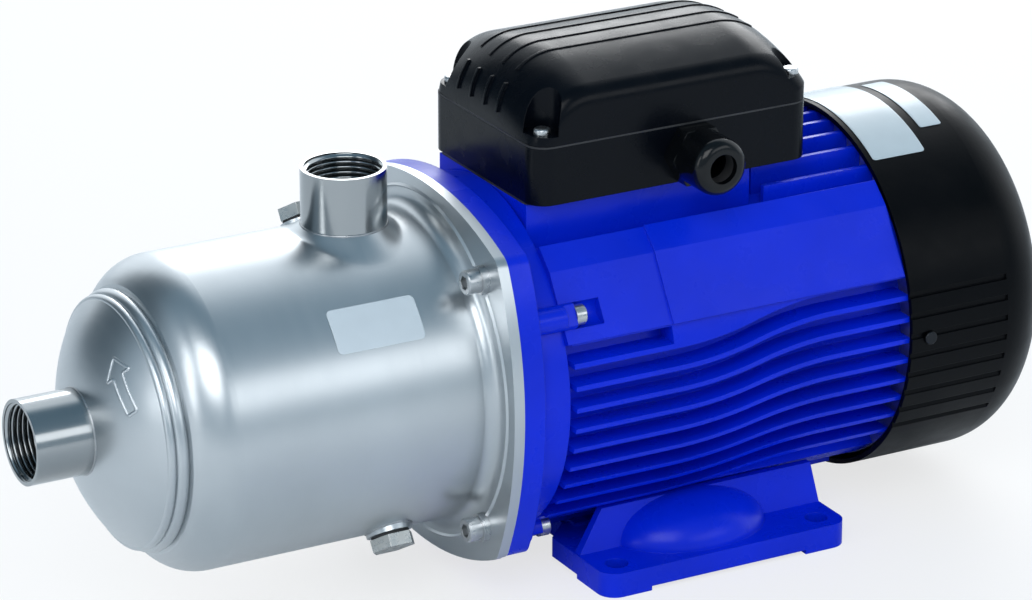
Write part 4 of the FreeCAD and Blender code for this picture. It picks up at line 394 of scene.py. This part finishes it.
def soft_rubber(name):
    """Matte black rubber with a slight mottle."""
    finish = Finish(name, (0.022, 0.022, 0.023), 0.0, 0.62)
    finish.rough(finish.noise(120), 0.55, 0.75)
    finish.tint(finish.noise(60), (0.018, 0.018, 0.019), (0.032, 0.032, 0.034))
    finish.bump(finish.noise(800), 0.03 * MM)
    return finish.material


def stacked_sheet(name):
    """Laminations: thin sheets one behind another along the shaft."""
    finish = Finish(name, (0.30, 0.30, 0.32), 0.9, 0.45)
    lines = finish.noise(2000, SHEET_GRAIN, detail=1)
    finish.rough(lines, 0.38, 0.55)
    finish.tint(lines, (0.22, 0.22, 0.24), (0.36, 0.36, 0.38))
    finish.bump(lines, 0.06 * MM)
    return finish.material


def varnished_copper(name):
    """Varnished winding wire: strands along the shaft under a clear coat."""
    finish = Finish(name, (0.55, 0.20, 0.07), 0.85, 0.38, Coat_Weight=0.6, Coat_Roughness=0.2)
    strands = finish.noise(1500, STRANDS, detail=2)
    finish.rough(strands, 0.3, 0.5)
    finish.tint(strands, (0.40, 0.13, 0.04), (0.62, 0.25, 0.09))
    finish.bump(strands, 0.15 * MM)
    return finish.material


def printed_film(name, color, roughness=0.34):
    """Bare label stock: a smooth film with a slight waviness."""
    finish = Finish(name, color, 0.0, roughness, Coat_Weight=0.4, Coat_Roughness=0.15)
    finish.tint(finish.noise(90, detail=2), shade(color, 0.95), color)
    finish.rough(finish.noise(200), roughness - 0.05, roughness + 0.08)
    finish.bump(finish.noise(260, detail=2), 0.01 * MM)
    return finish.material


SHEET = (0.56, 0.585, 0.60)
TURNED = (0.38, 0.395, 0.40)
sheet_steel = spun_steel("spun_stainless", SHEET, 0.33, RING_GRAIN, depth=0.004 * MM)
turned_along = spun_steel("turned_stainless", TURNED, 0.17, RING_GRAIN, fineness=2400)
turned_upright = spun_steel("turned_stainless_upright", TURNED, 0.17, UPRIGHT_GRAIN,
                            fineness=2400)
weld_steel = plated("weld_bead", (0.42, 0.43, 0.44), 0.32, patches=900)
blue_paint = cast_paint("blue_paint", (0.0005, 0.021, 0.64))
box_plastic = moulded("box_plastic", (0.0014, 0.0023, 0.0044), 0.25, 700, 0.02 * MM, shine=0.12)
cover_plastic = moulded("cover_plastic", (0.0008, 0.0011, 0.0019), 0.34, 500, 0.03 * MM,
                        shine=0.09)
gland_plastic = moulded("gland_plastic", (0.002, 0.0026, 0.0034), 0.18, 900, 0.015 * MM,
                        shine=0.3)
zinc = plated("zinc_plate", (0.56, 0.57, 0.58), 0.30)
black_zinc = plated("black_zinc", (0.030, 0.032, 0.036), 0.34)
bright_steel = plated("bright_steel", (0.55, 0.55, 0.56), 0.22)
plug_steel = plated("plug_steel", (0.55, 0.55, 0.53), 0.28)
cast_metal = plated("cast_aluminium", (0.60, 0.61, 0.63), 0.42, patches=200)
rubber = soft_rubber("rubber")
seal_carbon = moulded("seal_carbon", (0.03, 0.03, 0.032), 0.3, 1500, 0.005 * MM)
laminations = stacked_sheet("laminations")
copper = varnished_copper("copper_windings")
label_film = printed_film("label_film", (0.60, 0.66, 0.70))
plate_film = printed_film("plate_film", (0.50, 0.58, 0.62))

SLOT_FINISHES = {
    "stainless_sheet": sheet_steel, "turned_steel": bright_steel, "zinc_plated_steel": zinc,
    "plug_steel": plug_steel, "blue_paint": blue_paint, "cast_aluminium": cast_metal,
    "black_cover": cover_plastic, "black_plastic": box_plastic, "gland_plastic": gland_plastic,
    "rubber": rubber, "seal_face": seal_carbon, "laminations": laminations,
    "copper_windings": copper,
}
NODE_FINISHES = {
    "suction_port": turned_along, "discharge_port": turned_upright, "shaft": turned_along,
    "shaft_spacers": turned_along, "fan": cover_plastic, "fan_cover_screws": black_zinc,
}


def dress_nodes():
    """Every solid gets the finish of its slot, or one of its own."""
    for part in frame["record"]["subparts"]:
        node = frame["nodes"][part["node"]]
        finish = NODE_FINISHES.get(part["node"], SLOT_FINISHES[part["material_slot"]])
        node.data.materials.clear()
        node.data.materials.append(finish)


# Pieces

def make_threads():
    """Threads in both mouths, each as long as its port's wall less a plain end."""
    thread_sleeve("suction_thread", np.array((SUCTION_MOUTH, 0, SHAFT_HEIGHT)), -X_AXIS, Y_AXIS,
                  Z_AXIS, SUCTION_DEPTH - SUCTION_PLAIN_END, turned_along)
    thread_sleeve("discharge_thread", np.array((DISCHARGE_X, 0, DISCHARGE_MOUTH)), Z_AXIS, X_AXIS,
                  Y_AXIS, DISCHARGE_MOUTH - DISCHARGE_FOOT - DISCHARGE_PLAIN_END, turned_upright)


def make_discharge_neck():
    """Neck drawn out of the sleeve up to the discharge port. Each rib of it starts down a slope
    from a circle on the port's wall and ends along the sleeve: beyond the port along the shaft,
    and part of the way to where the line from that circle would touch the sleeve across it.
    Between the two it is a cubic with those directions at its ends."""
    angle = np.linspace(0, TURN, NECK_COLUMNS, endpoint=False)
    along, across = np.cos(angle), np.sin(angle)
    level = np.zeros(NECK_COLUMNS)
    top = np.stack([PORT_RADIUS * along, PORT_RADIUS * across, level + NECK_TOP], axis=1)
    tangent = np.arccos(SLEEVE_RADIUS / np.hypot(top[:, 1], top[:, 2]))
    # The cubic is 1 and level where a rib points straight across the shaft
    reach = NECK_SPREAD * across * (1.5 - 0.5 * across ** 2) * tangent
    lean = np.arctan2(top[:, 1], top[:, 2]) + reach
    up = np.stack([level, np.sin(lean), np.cos(lean)], axis=1)
    foot = up * (SLEEVE_RADIUS + NECK_LIFT) + np.outer((PORT_RADIUS + NECK_REACH) * along, X_AXIS)
    span = foot - top
    pull = np.linalg.norm(span, axis=1, keepdims=True) * NECK_PULL
    outward = unit(np.stack([along, across, level - math.tan(NECK_SLOPE)], axis=1))
    downward = unit(span - np.sum(span * up, axis=1, keepdims=True) * up)
    share = np.linspace(0, 1, NECK_ROWS)[:, None, None]
    ribs = ((2 * share ** 3 - 3 * share ** 2 + 1) * top
            + (share ** 3 - 2 * share ** 2 + share) * outward * pull
            + (3 * share ** 2 - 2 * share ** 3) * foot
            + (share ** 3 - share ** 2) * downward * pull)
    inside = top * np.array((NECK_INSIDE, NECK_INSIDE, 1))
    under = foot - up * NECK_SINK + downward * NECK_TUCK
    grid = np.concatenate([inside[None], ribs, under[None]])
    surface("discharge_neck", grid + np.array((DISCHARGE_X, 0, SHAFT_HEIGHT)),
            sheet_steel)


def make_welds():
    """Ring welds at the feet of both ports, and saddle welds round the plug bosses, which follow
    the sleeve: its height over each point of a ring is the root of the sleeve's radius squared
    less the offset across it squared."""
    suction_foot = np.array((CAP_TIP + CAP_EDGE_DIP, 0, SHAFT_HEIGHT))
    path, out = circle(suction_foot, Y_AXIS, Z_AXIS, PORT_RADIUS)
    bead("suction_weld", path, unit(out - X_AXIS), 0.55 * MM, 0.5 * MM, weld_steel,
         ripple=0.12, ripples=110)
    discharge_foot = np.array((DISCHARGE_X, 0, SHAFT_HEIGHT + NECK_TOP))
    path, out = circle(discharge_foot, X_AXIS, Y_AXIS, PORT_RADIUS)
    bead("discharge_weld", path, unit(out + Z_AXIS), 0.5 * MM, 0.4 * MM, weld_steel,
         ripple=0.12, ripples=110)
    centre = np.array((DISCHARGE_X, 0, SHAFT_HEIGHT))
    for name, side in (("fill_boss_weld", 1), ("drain_boss_weld", -1)):
        up = side * np.array((0, math.sin(PLUG_LEAN), math.cos(PLUG_LEAN)))
        over = np.cross(X_AXIS, up)
        path, out = circle(centre, X_AXIS, over, BOSS_RADIUS, SADDLE_POINTS)
        rise = np.sqrt(SLEEVE_RADIUS ** 2 - ((path - centre) @ over) ** 2)
        bead(name, path + rise[:, None] * up, unit(out + up), 0.6 * MM, 0.5 * MM, weld_steel,
             ripple=0.15, ripples=60)


def cap_point(up, side):
    """Point of the dome's spherical cap at a height over the shaft and an offset across it, and
    its outward normal."""
    dip = CAP_RADIUS - np.sqrt(CAP_RADIUS ** 2 - up ** 2 - side ** 2)
    points = np.stack([CAP_TIP + dip, side, SHAFT_HEIGHT + up], axis=-1)
    centre = np.array((CAP_TIP + CAP_RADIUS, 0, SHAFT_HEIGHT))
    return points, unit(points - centre)


def make_flow_arrow():
    """Embossed arrow on the dome, above the suction port on the near side: a bead along its
    outline, with 14 points to a side and corners rounded by averaging neighbours twice. It
    points up and towards the far side."""
    tip_side, tip_up, lean = -18.2 * MM, 37.2 * MM, math.radians(45)
    shaft_half, head_half, head_long, length = 2.3, 5.8, 8.3, 25.5
    half = [(head_half, -head_long), (shaft_half, -head_long), (shaft_half, -length)]
    corners = np.array([(0, 0)] + half + [(-across, along) for across, along in half[::-1]]) * MM
    following = np.roll(corners, -1, axis=0)
    share = np.linspace(0, 1, 14, endpoint=False)[None, :, None]
    flat = (corners[:, None, :] * (1 - share) + following[:, None, :] * share).reshape(-1, 2)
    for _ in range(2):
        flat = (np.roll(flat, 1, axis=0) + flat * 2 + np.roll(flat, -1, axis=0)) / 4
    side = tip_side + flat[:, 1] * math.sin(lean) + flat[:, 0] * math.cos(lean)
    up = tip_up + flat[:, 1] * math.cos(lean) - flat[:, 0] * math.sin(lean)
    path, normals = cap_point(up, side)
    bead("flow_arrow", path, normals, 0.8 * MM, 0.5 * MM, sheet_steel)


def make_labels():
    """Bare film labels: one on the sleeve, and a large and a small one over the fan cover's
    top."""
    labels = (  # name, radius; middle along and round the shaft; half sizes, corner, thickness
        ("sleeve_label", SLEEVE_RADIUS, -153.8, 139.85, 20.1, 9.8, 2.2, 0.12, label_film),
        ("cover_plate", COVER_RADIUS, 105, 96, 13.3, 37.8, 1.5, 0.2, plate_film),
        ("cover_tag", COVER_RADIUS, 128.8, 96, 5.6, 24.5, 1.2, 0.2, plate_film),
    )
    for name, radius, middle, degrees, half_long, half_wide, corner, thick, film in labels:
        wrapped_plate(name, radius, middle * MM, math.radians(degrees), half_long * MM,
                      half_wide * MM, corner * MM, thick * MM, film)


def make_studio():
    """Pale floor, of which the camera sees a share as plain white, and soft lamps."""
    scene = bpy.context.scene
    scene.view_settings.view_transform = "Standard"
    bpy.ops.mesh.primitive_plane_add(size=FLOOR_SIZE, location=FLOOR_PLACE)
    floor = bpy.context.object
    floor.name = "floor"
    finish = Finish("floor_paint", FLOOR_COLOR, 0.0, 0.6)
    light_path = finish.node("LightPath")
    glow = finish.node("Emission", Color=(1, 1, 1, 1), Strength=1.0)
    mix = finish.node("MixShader")
    share = finish.node("Math")
    share.operation = "MULTIPLY"
    share.inputs[1].default_value = FLOOR_GLOW
    finish.link(light_path.outputs["Is Camera Ray"], share.inputs[0])
    finish.link(share.outputs[0], mix.inputs["Fac"])
    finish.link(finish.shader.outputs["BSDF"], mix.inputs[1])
    finish.link(glow.outputs["Emission"], mix.inputs[2])
    finish.link(mix.outputs["Shader"], finish.tree.nodes["Material Output"].inputs["Surface"])
    floor.data.materials.append(finish.material)
    for name, spot, wide, tall, power in LAMPS:
        lamp = bpy.data.lights.new(name, "AREA")
        lamp.shape = "RECTANGLE"
        lamp.size, lamp.size_y, lamp.energy = wide, tall, power
        holder = bpy.data.objects.new(name, lamp)
        scene.collection.objects.link(holder)
        aim = (Vector(LAMP_AIM) - Vector(spot)).to_track_quat("-Z", "Y").to_matrix().to_4x4()
        holder.matrix_world = Matrix.Translation(spot) @ aim


def make_surround():
    """World: a bluish room, darker overhead, with a dark corner on the far side and a bright
    backdrop beyond it behind the motor end. Each has its own levels by the height of the
    direction, and is laid over the last in a zone of directions."""
    world = bpy.data.worlds.new("surround")
    bpy.context.scene.world = world
    world.use_nodes = True
    tree = world.node_tree
    place = tree.nodes.new("ShaderNodeTexCoord")
    split = tree.nodes.new("ShaderNodeSeparateXYZ")
    tree.links.new(place.outputs["Generated"], split.inputs[0])

    def levels(stops):
        """Colour by height: each stop is a height, a level and how blue it is."""
        ramp = tree.nodes.new("ShaderNodeValToRGB")
        tree.links.new(split.outputs["Z"], ramp.inputs[0])
        elements = ramp.color_ramp.elements
        elements[0].position = stops[0][0]
        elements[1].position = stops[-1][0]
        for position, _, _ in stops[1:-1]:
            elements.new(position)
        for element, (_, level, blue) in zip(elements, stops):
            element.color = (level * (1 - BLUE_RED_LOSS * blue),
                             level * (1 - BLUE_GREEN_LOSS * blue), level, 1)
        return ramp.outputs["Color"]

    def overlay(under, over, towards, first, full):
        """One colour over another where the direction's share towards a vector goes from first
        to full."""
        share = tree.nodes.new("ShaderNodeVectorMath")
        share.operation = "DOT_PRODUCT"
        share.inputs[1].default_value = towards
        tree.links.new(place.outputs["Generated"], share.inputs[0])
        zone = tree.nodes.new("ShaderNodeMapRange")
        zone.inputs["From Min"].default_value = first
        zone.inputs["From Max"].default_value = full
        tree.links.new(share.outputs["Value"], zone.inputs["Value"])
        mix = tree.nodes.new("ShaderNodeMix")
        mix.data_type = "RGBA"
        tree.links.new(zone.outputs["Result"], mix.inputs["Factor"])
        for color, socket in zip((under, over), color_sockets(mix.inputs)):
            tree.links.new(color, socket)
        return color_sockets(mix.outputs)[0]

    room, corner, backdrop = levels(ROOM), levels(CORNER), levels(BACKDROP)
    shown = overlay(overlay(room, corner, *CORNER_ZONE), backdrop, *BACKDROP_ZONE)
    ground = tree.nodes["Background"]
    tree.links.new(shown, ground.inputs["Color"])
    ground.inputs["Strength"].default_value = SURROUND_STRENGTH


def make_camera():
    """Camera of the photograph: its azimuth from -Y, positive towards +X, its elevation, the
    distance to its aim, and its lens and sensor in millimetres."""
    right = Vector((math.cos(CAMERA_AZIMUTH), math.sin(CAMERA_AZIMUTH), 0))
    back = Vector((math.sin(CAMERA_AZIMUTH) * math.cos(CAMERA_ELEVATION),
                   -math.cos(CAMERA_AZIMUTH) * math.cos(CAMERA_ELEVATION),
                   math.sin(CAMERA_ELEVATION)))
    up = back.cross(right)
    camera = bpy.data.cameras.new("camera")
    camera.sensor_width, camera.lens = CAMERA_SENSOR, CAMERA_LENS
    holder = bpy.data.objects.new("camera", camera)
    bpy.context.scene.collection.objects.link(holder)
    turn = Matrix((right, up, back)).transposed().to_4x4()
    holder.matrix_world = Matrix.Translation(CAMERA_AIM + back * CAMERA_DISTANCE) @ turn
    bpy.context.scene.camera = holder


make_camera()
make_studio()
make_surround()
dress_nodes()
make_threads()
make_discharge_neck()
make_welds()
make_flow_arrow()
make_labels()
